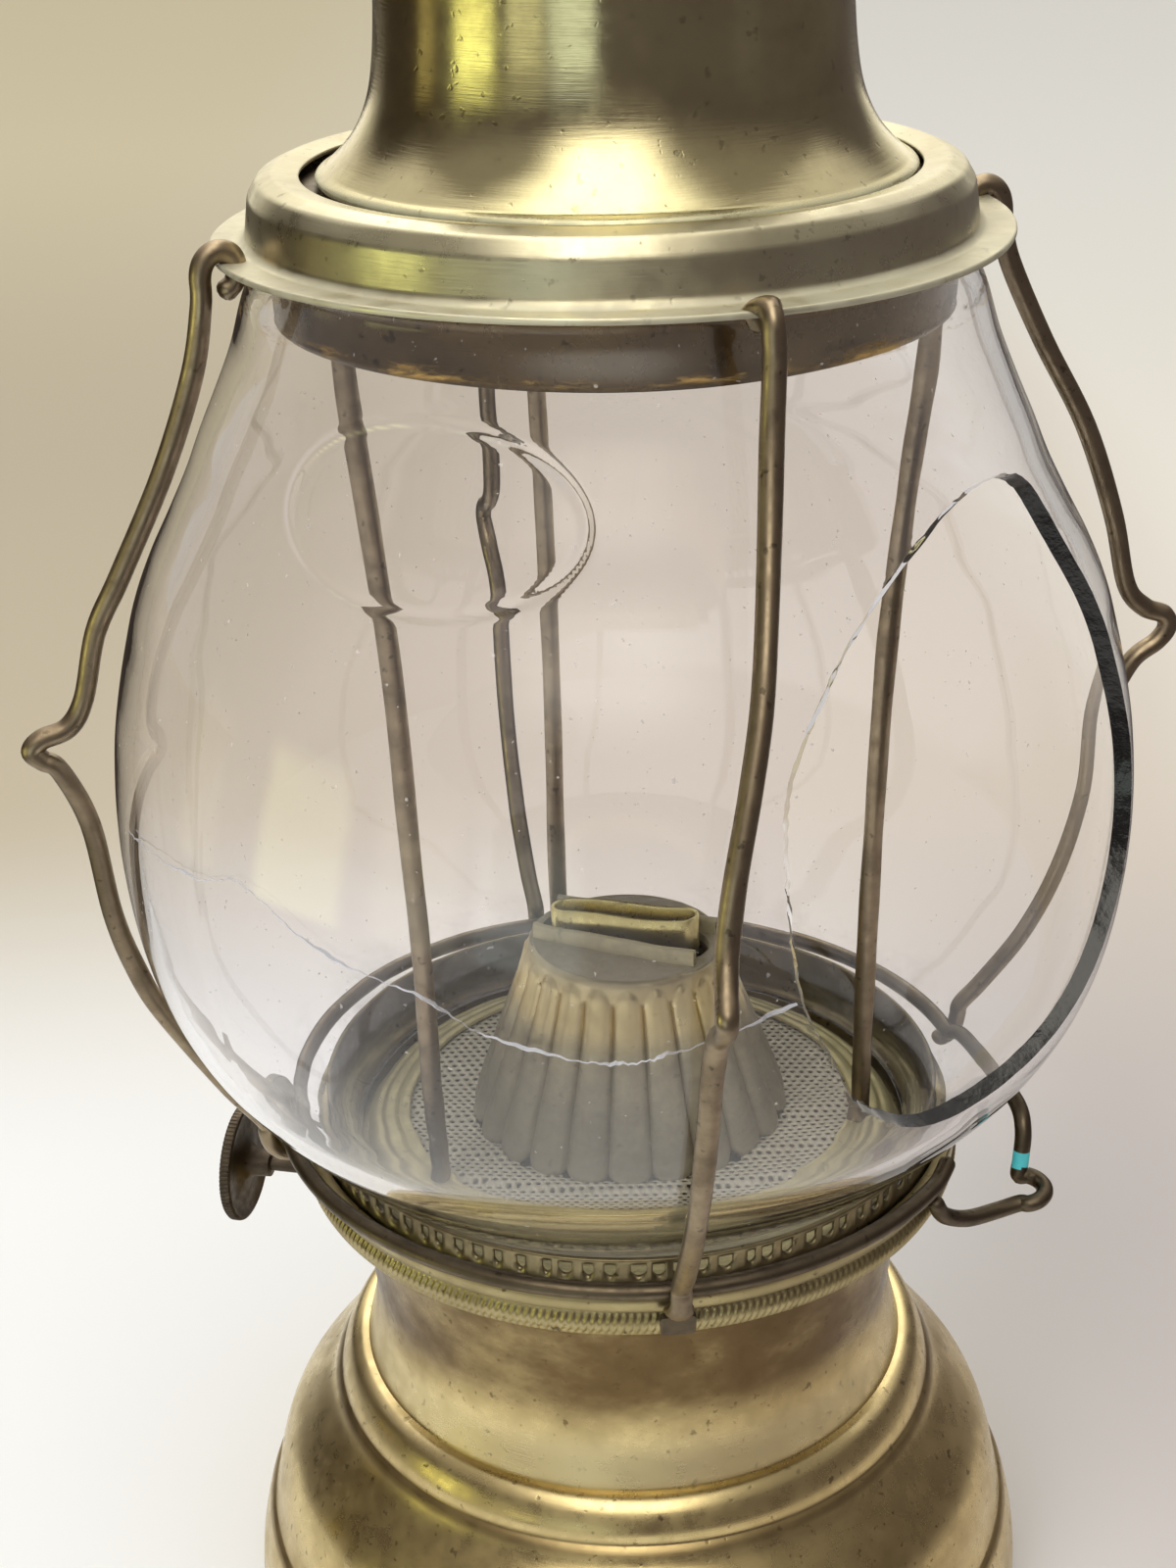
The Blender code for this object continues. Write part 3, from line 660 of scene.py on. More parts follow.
def make_knob():
    """A dished, milled knob on its boss."""
    axis = (turned_about_z(WICK_AZ) @ Matrix.Translation((0, SPINDLE_OFFSET, SPINDLE_Z))
            @ Matrix.Rotation(radians(90), 4, "Y"))
    back, front = KNOB_AT - 1.0, KNOB_AT + 0.9
    profile = [(1.0, back - 4.2), (2.3, back - 4.0), (2.5, back - 1.0), (3.4, back + 0.1),
               (6.0, back + 0.6), (8.6, back + 0.5), (KNOB_R - 0.6, back), (KNOB_R - 0.1, back + 0.2),
               (KNOB_R, back + 0.5), (KNOB_R, front - 0.4), (KNOB_R - 0.3, front - 0.05),
               (KNOB_R - 0.9, front), (8.6, front - 0.5), (5.0, front - 0.8),
               (2.6, front - 0.7), (2.2, front), (1.5, front + 0.3), (1.0, front + 0.3)]

    def milled(radius, z, turn):
        if radius < KNOB_R - 0.5:
            return radius, z
        return radius - 0.16 * max(0.0, sin(84 * turn)), z

    knob = lathe("wick_knob_milled", profile, drive_brass, 504, milled,
                 matrix=axis)
    place(knob, "spindle", "drive_brass", "wick_knob")


def fluted_cone():
    """Round fingers with sharp grooves and arched heads."""
    line = smooth([(SHOULDER_R, 122.35), (15.75, 121.7), (16.1, 120.3), (16.8, 117.6), (18.3, 113),
                   (21.3, 104.4), (24.6, 94.8), (25.8, CONE_Z + 0.3)], 8)
    per_flute, rows = 18, len(line)
    columns = FLUTES * per_flute
    arch_top, arch_drop, head, head_step = CONE_TOP_Z - 1.3, 2.3, 1.3, 0.55
    shallow, deeper, tall = 1.35, 0.8, 26
    hem, hem_in, hem_scallop = 2.0, 0.9, 1.3
    verts = []
    for i, (radius, z) in enumerate(line):
        down = i / (rows - 1)
        depth = shallow + deeper * min(max((CONE_TOP_Z - z) / tall, 0.0), 1.0)
        end = max(0.0, (CONE_Z + hem - z) / hem)
        for j in range(columns):
            across = (j % per_flute) / per_flute * 2 - 1
            grown = min(max((arch_top - arch_drop * across * across - z) / head, 0.0), 1.0)
            grown = grown * grown * (3 - 2 * grown)
            finger = sqrt(max(1 - (across * 0.985) ** 2, 0.0))
            r = (radius - depth * (1 - finger) * grown - head_step * (1 - grown)
                 - hem_in * end * end)
            lift = hem_scallop * across * across * max(0.0, down * 3 - 2)
            turn = tau * j / columns
            verts.append(spun(r, turn, z + lift))
    cone = mesh_object("cone_fluted", verts,
                       grid_faces(rows, columns, closed_rows=False), cone_brass, 60)
    give_wall(cone, 0.45)
    return cone


def cone_shoulder(slot):
    """The flat top of the cone, round the flame slot."""
    inner = [slot @ spot for spot in oval(SLOT_LONG, SLOT_WIDE, 14)]
    outer = [spot.normalized() * SHOULDER_R for spot in inner]
    rings = []
    for t, z in ((0.0, -0.5), (0.04, 0.3), (0.3, 0.4), (0.7, 0.25), (0.93, 0.0), (1.0, -0.4)):
        rings.append([a.lerp(b, t) + Vector((0, 0, CONE_TOP_Z - 0.25 + z))
                      for a, b in zip(inner, outer)])
    under = [[spot - Vector((0, 0, 0.5)) for spot in ring] for ring in rings[::-1]]
    return loft("cone_shoulder", rings + under, shoulder_brass, None, True)


def slot_lip(side, sign, slot):
    """A folded strip along the flame slot: up the outer face, over and down again."""
    low, high = CONE_TOP_Z + 0.05, LIP_TOP_Z
    fold = [(6.3, low), (6.15, high - 0.3), (5.9, high - 0.05), (5.5, high + 0.02),
            (5.15, high - 0.15), (5.0, high - 0.5), (4.95, low - 0.4), (5.3, low - 0.4),
            (5.35, high - 0.7), (5.55, high - 0.45), (5.75, high - 0.6), (5.85, low)]
    long, count = SLOT_LONG - 0.6, 28
    sections = []
    for i in range(count + 1):
        x = long * (i / count - 0.5)
        bow = -0.32 * (x / 13.5) ** 2 * sign + 0.1 * sin(x * 0.7 + sign)
        tilt = 0.1 * sin(x * 0.45 + 1)
        sections.append([Vector((x, sign * y + bow, z + tilt * (z - low) / 3)) for y, z in fold])
    return loft(f"slot_lip_{side}_folded", sections, lip_brass, slot, sharp=50)


def make_cone():
    cone = fluted_cone()
    slot = turned_about_z(SLOT_AZ)
    place(cone_shoulder(slot), "cone", "cone_brass")
    place(cone, "cone", "cone_brass", "burner_cone")
    for side, sign in (("front", 1), ("rear", -1)):
        place(slot_lip(side, sign, slot), "cone", "tube_brass", f"slot_lip_{side}")


# ---------------------------------------------------------------- gallery

def make_cup():
    """The cup, with a row of small draught windows under its rim, round the front half."""
    count = int(tau * CUP_R / 3.3)
    pitch = tau / count
    edges = []
    for i in range(count):
        width = random.uniform(1.3, 2.4) / CUP_R
        start = i * pitch + random.uniform(0, pitch - width) * 0.6
        edges.append((start, start + width))
    spokes = []
    for i, (start, end) in enumerate(edges):
        for k in range(7):
            turn = start + (end - start) * k / 6
            spokes.append((turn, k / 3 - 1, sin(turn) <= 0))
        following = edges[(i + 1) % count][0] + (tau if i == count - 1 else 0)
        for k in (1, 2):
            spokes.append((end + (following - end) * k / 3, None, False))
    foot, wall_r = foot_of("gallery_cup"), CUP_R - 0.1
    window_low, window_high = CUP_RIM_Z - 2.9, CUP_RIM_Z - 0.7
    line = smooth([(41.0, foot + 0.2), (46.0, foot + 0.2), (48.6, foot + 0.4), (49.6, foot + 1.4),
                   (wall_r, 91), (wall_r, window_low)], 3)
    low_row = len(line) - 1
    line += [Vector((wall_r, window_low + 0.7)), Vector((wall_r, window_high)),
             Vector((wall_r, CUP_RIM_Z - 0.3)), Vector((CUP_R, CUP_RIM_Z))]

    def round_foot(i, across):
        return 0.7 * across * across if i == low_row else 0.0

    cup = pierced("gallery_cup_pierced", line, spokes, (low_row, low_row + 2), round_foot,
                  cup_brass)
    give_wall(cup, 0.6)
    place(cup, "cage", "gallery_brass", "gallery_cup")


def make_annulus():
    """The ridged ring inside the cup."""
    outline = runs([(35.7, 91.6), (35.9, 92.1), (36.6, 92.2), (37.6, 91.8)],
                   [(37.6, 91.8), (38.4, 91.1), (39.2, 91.2), (39.9, 91.0), (40.6, 90.3),
                    (41.4, 90.3), (42.2, 89.8), (42.9, 89.0)], steps=5)
    place(lathe("annulus_ridged", shell(outline, 0.4), gallery_brass, 160), "cage",
          "gallery_brass", "annulus_plate")


def make_draught_plate():
    """The pierced plate: hexagonal cells, each with a round hole."""
    pitch, hole, sides = 1.5, 0.44, 12
    verts, faces = [], []
    reach_out, reach_in = 36.6, 24.6
    for row in range(-30, 31):
        y = row * pitch * sqrt(3) / 2
        for column in range(-26, 27):
            x = (column + (row % 2) / 2) * pitch
            if not reach_in < hypot(x, y) < reach_out:
                continue
            start = len(verts)
            for k in range(sides):
                turn = tau * k / sides
                apothem = pitch / 2 / cos((turn + pi / 6) % (pi / 3) - pi / 6)
                verts.append(Vector((x + apothem * cos(turn), y + apothem * sin(turn),
                                     PLATE_Z)))
                verts.append(Vector((x + hole * cos(turn), y + hole * sin(turn),
                                     PLATE_Z)))
            for k in range(sides):
                a, b = start + 2 * k, start + 2 * ((k + 1) % sides)
                faces.append((a, b, b + 1, a + 1))
    plate = mesh_object("draught_plate_pierced", verts, faces, tinned_plate)
    give_wall(plate, 0.4)
    place(plate, "cage", "tinned_plate", "perforated_plate")


# ---------------------------------------------------------------- globe

GLOBE_LINE = smooth([(49.2, GLOBE_TOP_Z - 1.2), (49.6, 228), (51.2, 224), (53.1, 218), (55.6, 212),
                     (58.3, 206), (60.8, 200), (63.8, 194), (67.0, 188), (69.6, 182),
                     (71.4, 176), (72.9, 170), (74.1, 164), (74.8, 158), (75.15, 152),
                     (75.1, 146), (74.6, 140), (73.7, 134), (72.2, 128), (69.9, 122),
                     (66.6, 116), (61.9, 110), (56.3, 104), (50.6, 98.8), (48.4, 96.4),
                     (46.9, 93.5), (46.3, 89.4)], 8)
BREAK = [(62.7, 204.1), (46.0, 204.9), (27.6, 194.7), (17.6, 181.3), (15.7, 167.6), (16.7, 152.1),
         (20.0, 142.6), (24.6, 132.2), (37.1, 124.7), (61.1, 133.2), (73.3, 156.8), (68.9, 192.5)]
CRACK = [(-66.7, 156.3), (-59.6, 157.4), (-48.5, 158.8), (-41.2, 161.1), (-30.4, 155.5),
         (-20.7, 152.8), (-13.0, 148.1), (-3.8, 145.3), (0.8, 145.2), (5.4, 146.8), (16.2, 151.4)]
OVAL_AZ, OVAL_Z, OVAL_HALF_AZ, OVAL_HALF_Z = -24.4, 208.2, 20.8, 10.7


def globe_radius(z):
    """Outer radius of the glass at a height."""
    for (r0, z0), (r1, z1) in zip(GLOBE_LINE, GLOBE_LINE[1:]):
        if z1 <= z <= z0:
            return r0 + (r1 - r0) * (z0 - z) / (z0 - z1)
    return GLOBE_LINE[0][0] if z > GLOBE_LINE[0][1] else GLOBE_LINE[-1][0]


def globe_point(azimuth, z, depth):
    """A point depth below the outside of the glass, along the surface's normal."""
    slope = (globe_radius(z + 0.5) - globe_radius(z - 0.5))
    normal = at(1, -slope, azimuth).normalized()
    return at(globe_radius(z), z, azimuth) - normal * depth


def blown_globe():
    """The whole globe, with fine rows and columns round the raised oval."""
    fine, coarse, half_size, ridge, ridge_width = 0.42, 2.0, 15.0, 0.26, 0.5
    azimuths, heights = [], []
    azimuth = -180.0
    while azimuth < 179.5:
        azimuths.append(azimuth)
        azimuth += fine if -48 <= azimuth <= 0 else coarse
    z = GLOBE_TOP_Z - 1.2
    while z > GLOBE_FOOT_Z + 0.8:
        heights.append(z)
        z -= 0.5 if 196 <= z <= 226 else (1.0 if z > 105 else 0.5)

    def raised(az, z):
        """The raised oval line on the glass."""
        dx = (az - OVAL_AZ) / OVAL_HALF_AZ
        dz = (z - OVAL_Z) / OVAL_HALF_Z
        far = abs(hypot(dx, dz) - 1) * half_size
        return ridge * exp(-(far / ridge_width) ** 2)

    def bent(az, z):
        """Hand-blown unevenness."""
        turn = radians(az)
        return wander(turn, z / 24, 0.16) + 0.1 * sin(z / 11 + 2 * turn)

    sections = [[globe_point(az, z, -raised(az, z) - bent(az, z)) for az in azimuths]
                for z in heights]
    inner = [[globe_point(az, z, GLASS - bent(az, z) * 1.6) for az in azimuths]
             for z in heights[::-1]]
    lip = [[a.lerp(b, t) + Vector((0, 0, 0.9 * sin(pi * t))) for a, b in
            zip(inner[-1], sections[0])] for t in (0.2, 0.5, 0.8)]
    foot = [[a.lerp(b, t) - Vector((0, 0, 0.6 * sin(pi * t))) for a, b in
             zip(sections[-1], inner[0])] for t in (0.25, 0.75)]
    return loft("globe_glass", sections + foot + inner + lip, clear_glass, None, True, 80)


def missing_piece():
    """The space that the broken piece leaves, through the wall and out past it."""
    outline = smooth([Vector((az, z, 0)) for az, z in BREAK], 14, closed=True)
    rims = []
    # depth below the outside of the glass, and how rough the break is there
    for depth, jag in ((7.0, 0.5), (2.6, 0.25), (1.2, 0.12), (0.0, 0.22), (-1.0, 0.2), (-9.0, 0.2)):
        rims.append([globe_point(spot.x + random.uniform(-jag, jag) * 0.5,
                                 spot.y + random.uniform(-jag, jag) * 0.6, depth)
                     for spot in outline])
    count = len(outline)
    verts = [vert for rim in rims for vert in rim]
    faces = grid_faces(len(rims), count, closed_rows=False)
    middle = Vector((sum(s.x for s in outline) / count, sum(s.y for s in outline) / count, 0))
    verts += [at(30, middle.y, middle.x), at(125, middle.y, middle.x)]
    last = (len(rims) - 1) * count
    for k in range(count):
        following = (k + 1) % count
        faces.append((following, k, len(verts) - 2))
        faces.append((last + k, last + following, len(verts) - 1))
    cutter = mesh_object("missing_piece", verts, faces, clear_glass)
    cutter.data.materials.append(fracture_painted_dark_reflection)
    cutter.data.materials.append(fracture_light)
    # Faces on the dark side of the break get the painted dark reflection; the lit side stays clear
    # glass.
    for face in cutter.data.polygons:
        spot = face.center
        azimuth = degrees(atan2(spot.x, -spot.y))
        lit = azimuth < 33 or (spot.z > 0.19 and azimuth < 62)
        face.material_index = 2 if lit else 1
    return cutter


def make_globe():
    globe, cutter = blown_globe(), missing_piece()
    globe.data.materials.append(fracture_painted_dark_reflection)
    globe.data.materials.append(fracture_light)
    change = globe.modifiers.new("broken", "BOOLEAN")
    change.operation = "DIFFERENCE"
    change.solver = "EXACT"
    change.material_mode = "TRANSFER"
    change.object = cutter
    graph = bpy.context.evaluated_depsgraph_get()
    solid = bpy.data.meshes.new_from_object(globe.evaluated_get(graph), depsgraph=graph)
    globe.modifiers.clear()
    globe.data = solid
    solid.set_sharp_from_angle(angle=radians(50))
    bpy.data.objects.remove(cutter)
    place(globe, "cage", "clear_glass", "glass_globe")


def make_crack():
    """The crack from the break round the front, as the bright face inside the glass."""
    line = smooth([Vector((az, z, 0)) for az, z in CRACK], 16)
    shares = (0.0, 0.33, 0.67, 1.0)
    front, back = [], []
    for i, spot in enumerate(line):
        jag = 0.22 * sin(i * 1.9) + 0.18 * sin(i * 0.73)
        width = 0.045 + 0.05 * abs(sin(i * 0.31)) ** 3
        deep = 0.3 + 1.1 * abs(sin(i * 0.17)) ** 6
        for side, rows in ((1, front), (-1, back)):
            rows.append([globe_point(spot.x, spot.y + jag * 0.6 + side * width,
                                     0.3 + deep * share) for share in shares])
    sections = [a + b[::-1] for a, b in zip(front, back)]
    crack = loft("glass_crack", sections, crack_white)
    place(crack, "cage", "clear_glass")


# ---------------------------------------------------------------- collar, rods, guard

def make_collar():
    """The flanged collar and the skirt that hangs from it."""
    profile = bevelled([(COLLAR_R, COLLAR_Z), (48.7, COLLAR_Z), (48.0, 237.8), (46.6, 239.6),
                        (45.2, 240.5), (41.9, 240.1), (41.8, 240.8), (45.4, 241.45),
                        (47.6, 240.5), (48.9, 238.4), (49.6, 233.4), (50.4, 232.55),
                        (COLLAR_R, 232.6)], 0.5, 4)
    collar = lathe("collar_spun", profile, collar_brass, 200,
                   lambda r, z, turn: (r + wander(turn, z / 40, 0.14),
                                       z + (0.16 * sin(3 * turn + 1) if r > 51 else 0)))
    place(collar, "cage", "collar_brass", "collar_ring")
    outline = runs([(38.8, SKIRT_TOP_Z - 0.1), (45.2, SKIRT_TOP_Z - 0.1)],
                   [(45.2, SKIRT_TOP_Z - 0.1), (46.1, SKIRT_TOP_Z - 0.6), (SKIRT_R, 236)],
                   [(SKIRT_R, 236), (SKIRT_R, SKIRT_Z + 1.2)],
                   [(SKIRT_R, SKIRT_Z + 1.2), (SKIRT_R + 0.1, SKIRT_Z + 0.7),
                    (SKIRT_R - 0.1, SKIRT_Z + 0.2)])
    skirt = lathe("skirt_spun", shell(outline, 0.6), skirt_brass, 180,
                  lambda r, z, turn: (r + wander(turn, 3 + z / 25, 0.14),
                                      z + (0.3 * wander(turn, 1.3, 1) if z < 224 else 0)))
    place(skirt, "cage", "skirt_brass", "inner_skirt")


def round_way(point):
    """The direction round the lantern at a point."""
    return Vector((-point.y, point.x, 0)).normalized()


RODS = {"left": [(43.6, 230, -51.5), (43.5, 218, -51.5), (41.6, 199, -51.8), (39.4, 172, -51.4),
                 (38.2, 140, -51.6), (37.8, 118, -51.4), (37.3, 99, -51.6), (37.5, 92.2, -51.5)],
        "right": [(43.6, 230, 75), (43.4, 216, 75.2), (41.3, 196, 75), (39.3, 172, 74.8),
                  (38.1, 140, 75), (37.5, 112, 75.2), (37.4, 92.2, 75)],
        "rear": [(43.6, 230, 197.5), (43.5, 216, 197.3), (41.3, 197, 197.6), (39.4, 172, 197.4),
                 (38.0, 130, 197.5), (37.4, 92.2, 197.5)]}
GUARD_HOOK = [(53.6, 228.9), (52.6, 229.8), (52.1, 231.2), (52.2, 232.6), (53.0, 233.6),
              (54.5, 234.0), (56.0, 233.2), (56.9, 231.2)]
FRONT_HOOK = [(52.6, 230.6), (52.9, 231.8), (53.6, 232.8), (55.0, 233.0), (56.2, 232.2),
              (56.9, 230.6)]
GUARD_FOOT = [(58.3, 98.8), (57.9, 96.6), (57.5, 94.4), (56.4, 92.9), (54.9, 92.4)]
GUARDS = {
    "left": [(57.2, 227, -69), (59, 218, -70), (64, 205, -71), (71, 191, -72), (75, 183, -73),
             (77.6, 173, -74), (80.2, 168.9, -74), (84.0, 167.6, -74), (85.5, 166, -74),
             (84.2, 164.4, -74), (82.0, 162.4, -74), (78.8, 153, -75), (77.2, 138, -75.5),
             (74.8, 128, -76), (71.6, 120, -76), (63.4, 106, -76)],
    "right": [(57.4, 227, 104), (58.9, 222, 104), (64.5, 210.7, 104), (72, 197.4, 104),
              (77.5, 183, 104), (80.5, 171.5, 104), (83.8, 167.4, 104), (87.2, 165.8, 104),
              (88.0, 163.6, 104), (86.4, 161.4, 104), (82.2, 158.3, 104), (78.8, 150.3, 104),
              (78, 137, 104), (74.5, 123, 104.5), (69, 111.5, 105), (62, 102.5, 105.5)],
    "front": [(57.2, 227, 19), (59, 218, 18), (64, 205, 16), (71, 191, 13.5), (75, 181, 11.5),
              (78, 171, 9.6), (79.4, 163, 8.7), (81.8, 158.8, 8.3), (84.4, 156.6, 8),
              (83.6, 154.2, 8), (80.4, 151.2, 7.8), (78.4, 145, 7.5), (76.6, 136, 7.3),
              (74.3, 126, 7), (69.8, 115.5, 6.8), (62.5, 104, 6.7)],
    "rear": [(57.2, 227, 201), (59, 218, 201), (64, 205, 200), (71, 191, 198.5),
             (75, 183, 197.5), (77.4, 173, 197), (80.0, 168.9, 197), (83.8, 167, 197),
             (85.3, 164.5, 197), (83.6, 162.4, 197), (80.8, 159.4, 197), (78.8, 152, 196.5),
             (77.2, 137, 196.5), (74.5, 126, 196.5), (69.8, 115.5, 196.5), (62.5, 104, 196.5)],
}


def make_rods():
    """The three inner rods, flattened under the skirt."""
    for name, path in RODS.items():
        points = smooth([at(*spot) for spot in path], 8)

        def flat(t):
            near = max(0.0, 1 - t / 0.06)
            kinks = 0.04 * sin(23 * t) + 0.03 * sin(61 * t)
            return 1 + 0.55 * near + kinks, 1 - 0.45 * near - kinks

        rod = tube(f"rod_{name}", points, ROD_WIRE, wire_brass, 16, round_way, flat)
        place(rod, "cage", "wire_brass", f"inner_rod_{name}")


def make_guard():
    """The four guard wires, hooked over the flange and pressed flat at the foot."""
    for name, path in GUARDS.items():
        bend = FRONT_HOOK if name == "front" else GUARD_HOOK
        hook = [at(radius, z, path[0][2]) for radius, z in bend]
        foot = [at(radius, z, path[-1][2]) for radius, z in GUARD_FOOT]
        points = smooth(hook + [at(*spot) for spot in path] + foot, 7)

        def flat(t):
            hooked = max(0.0, 1 - abs(t - 0.06) / 0.07)
            landed = max(0.0, (t - 0.9) / 0.1)
            kinks = 0.03 * sin(31 * t) + 0.02 * sin(73 * t)
            beaten = 0.75 if name == "front" else 0.2
            wide = 1 + beaten * hooked + 0.5 * landed + kinks
            return wide, 1 - 0.5 * beaten * hooked - 0.35 * landed - kinks

        wire = tube(f"guard_{name}", points, GUARD_WIRE, wire_brass, 16, round_way, flat)
        place(wire, "cage", "wire_brass", f"guard_wire_{name}")


def make_ring():
    """The foot ring, open at the clasp, and the tab at its front."""
    steps = 260
    points = []
    for i in range(steps + 1):
        azimuth = RING_FROM + (RING_TO - RING_FROM) * i / steps
        turn = radians(azimuth)
        tip = max(0.0, (azimuth - RING_TO + 5) / 5)
        points.append(at(RING_R + wander(turn, 1.7, 0.18),
                         RING_Z + wander(turn, 4.2, 0.22) + 1.6 * tip * tip, azimuth))
    ring = tube("foot_ring", points, RING_WIRE, dark_wire, 14)
    place(ring, "cage", "dark_wire", "ring_wire")
    azimuth = GUARDS["front"][-1][2]
    tab = bevelled([(-2.5, 87.6), (2.5, 87.6), (2.6, 90.8), (-2.6, 90.8)], 0.5)
    sections = [[Vector((x, y, z)) for x, z in tab] for y in (-54.7, -54.5, -53.6, -53.4)]
    grown = []
    for k, section in enumerate(sections):
        size = 0.94 if k in (0, 3) else 1.0
        grown.append([Vector((p.x * size, p.y, 89.2 + (p.z - 89.2) * size)) for p in section])
    clip = loft("ring_tab", grown, dark_wire, Matrix.Rotation(radians(azimuth), 4, "Z"))
    place(clip, "cage", "dark_wire", "ring_clip")


def make_clasp():
    """The springy clasp: from the guard's foot round a finger eye to a hook on the ring's end."""
    eye_centre, eye_r = Vector((61.0, -20.0, 88.4)), 2.7
    before = [Vector(p) for p in ((54.2, 10.4, 96.2), (55.6, 7.7, 97.0), (58.0, -3.6, 98.4),
                                  (60.2, -12.4, 98.0), (60.7, -15.6, 95.2), (60.4, -16.6, 90.8))]
    eye = []
    for i in range(9):
        turn = radians(110 - 235 * i / 8)
        eye.append(eye_centre + Vector((cos(turn) * eye_r, sin(turn) * eye_r,
                                        -2.0 * i / 8)))
    after = [Vector(p) for p in ((55.6, -23.8, 86.2), (50.8, -27.0, 87.2), (47.0, -29.2, 89.4),
                                 (45.4, -30.3, 92.4))]
    points = smooth(before + eye + after, 6)
    clasp = tube("clasp_spring", points, RING_WIRE, dark_wire, 14)
    clasp.data.materials.append(turquoise)
    paint = before[-1]
    for face in clasp.data.polygons:
        if (face.center / MM - paint).length < 1.8:
            face.material_index = 1
    place(clasp, "clasp", "dark_wire", "clasp_wire")


# ---------------------------------------------------------------- hood, crown, cap, bail

def make_hood():
    """The flared hood, with the crown, the cap and the bail's lugs on it."""
    outline = runs([(30.9, CROWN_Z - 0.3), (31.2, 268), (31.5, 261), (31.9, 256), (32.6, 251.6),
                    (33.7, 248.3), (35.3, 245.4), (37.3, 243.1), (39.2, 241.4)],
                   [(39.2, 241.4), (40.1, 240.9), (40.45, 240.4), (40.3, 239.9)], steps=6)
    hood = lathe("hood_spun", shell(outline, 0.7), hood_brass, 200,
                 lambda r, z, turn: (r + wander(turn, z / 30, 0.1), z), centre_x=HOOD_X)
    place(hood, "hood", "hood_brass", "hood_shell")
    make_crown()
    cap = runs([(0.01, CAP_TOP_Z - 0.1), (10, 302.8), (20, 300.2), (28, 295.9), (33.4, 291)],
               [(33.4, 291), (34.6, 289.6), (35.5, 288.4), (35.7, 287.5)])
    made = lathe("cap_spun", shell(cap, 0.7), hood_brass, 180,
                 lambda r, z, turn: (r, z), centre_x=HOOD_X)
    place(made, "hood", "hood_brass", "hood_cap")
    for side, sign in (("left", -1), ("right", 1)):
        make_ear(side, sign)


def make_crown():
    """The crown under the cap, with ten draught windows."""
    windows, inside_steps, wall_steps = 10, 14, 6
    half = radians(10.7)
    gap = tau / windows - 2 * half
    spokes = []
    for i in range(windows):
        centre = tau * i / windows + radians(18)
        for k in range(inside_steps + 1):
            across = k / inside_steps * 2 - 1
            spokes.append((centre + half * across, across, True))
        for k in range(1, wall_steps):
            spokes.append((centre + half + gap * k / wall_steps, None, False))
    radius, low_row, high_row = 27, 5, 7
    line = [(30.5, CROWN_Z + 0.2), (27.8, CROWN_Z + 0.25), (27.2, CROWN_Z + 0.6),
            (radius, CROWN_Z + 1.4), (radius, 278.6), (radius, 280), (radius, 283.7),
            (radius, 287.5), (radius, 289.5), (radius, CROWN_TOP_Z)]

    def round_corners(i, across):
        if i not in (low_row, high_row):
            return 0.0
        return (1 if i == low_row else -1) * 1.6 * max(0.0, abs(across) - 0.6) ** 2 / 0.16

    crown = pierced("crown_pierced", line, spokes, (low_row, high_row), round_corners,
                    hood_brass, HOOD_X)
    give_wall(crown, 0.7)
    place(crown, "hood", "hood_brass", "vent_crown")


def make_ear(side, sign):
    """A pierced lug that carries one end of the bail."""
    foot, hole, sides = foot_of("bail_ear_left"), 1.85, 32
    verts, faces = [], []
    x0 = HOOD_X + sign * EAR_X
    for x in (-1.2, -1.0, 1.0, 1.2):
        trim = 0.15 if abs(x) > 1.1 else 0.0
        for k in range(sides):
            turn = tau * k / sides
            y, z = cos(turn) * (3.4 - trim), BAIL_Z + sin(turn) * (3.4 - trim)
            if sin(turn) < 0:
                y = (3.4 - trim) * (1 if y > 0 else -1) * min(1, abs(y) / 1.2)
                z = BAIL_Z + max(-(BAIL_Z - foot - trim), 2.2 * sin(turn) * 2.2)
            verts.append(Vector((x0 + x, y, z)))
        for k in range(sides):
            turn = tau * k / sides
            verts.append(Vector((x0 + x, hole * cos(turn), BAIL_Z + hole * sin(turn))))
    for layer in range(3):
        a, b = layer * 2 * sides, (layer + 1) * 2 * sides
        for k in range(sides):
            n = (k + 1) % sides
            faces.append((a + k, a + n, b + n, b + k))
            faces.append((a + sides + n, a + sides + k, b + sides + k, b + sides + n))
    for base in (0, 6 * sides):
        for k in range(sides):
            n = (k + 1) % sides
            faces.append((base + k, base + n, base + sides + n, base + sides + k))
    ear = mesh_object(f"bail_lug_{side}", verts, faces, hood_brass)
    place(ear, "hood", "hood_brass", f"bail_ear_{side}")


def make_bail():
    """The U-shaped bail, lying back on the hood."""
    half, length = 17.5, 42.0
    straight = length - half
    path = [Vector((-10.2, 0, 0)), Vector((-15.4, 0, 0)), Vector((-17.1, 0, 0.6)),
            Vector((-half, 0, 2.4)), Vector((-half, 0, 12))]
    for i in range(13):
        turn = radians(180 - 15 * i)
        path.append(Vector((half * cos(turn), 0, straight + half * sin(turn))))
    path += [Vector((-spot.x, spot.y, spot.z)) for spot in path[4::-1]]
    lie = Matrix.Translation((HOOD_X, 0, BAIL_Z)) @ Matrix.Rotation(radians(-103), 4, "X")
    points = [lie @ spot for spot in smooth(path, 6)]
    place(tube("bail_wire", points, 1.5, wire_brass, 16), "bail_body", "wire_brass", "bail")


# ---------------------------------------------------------------- CAD nodes that stay visible

def dress_cad_nodes():
    """The plain inner parts keep their CAD meshes, with a finish each."""
    finishes = {"font_top": bell_brass, "font_collar": drive_brass, "burner_body": drive_brass,
                "burner_deck": cone_brass, "spindle_bush": drive_brass,
                "spindle_shaft": drive_brass, "spur_wheel_inner": drive_brass,
                "spur_wheel_outer": drive_brass}
    for name, surface in finishes.items():
        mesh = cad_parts[name].data
        mesh.materials.clear()
        mesh.materials.append(surface)


# ---------------------------------------------------------------- floor, light, camera

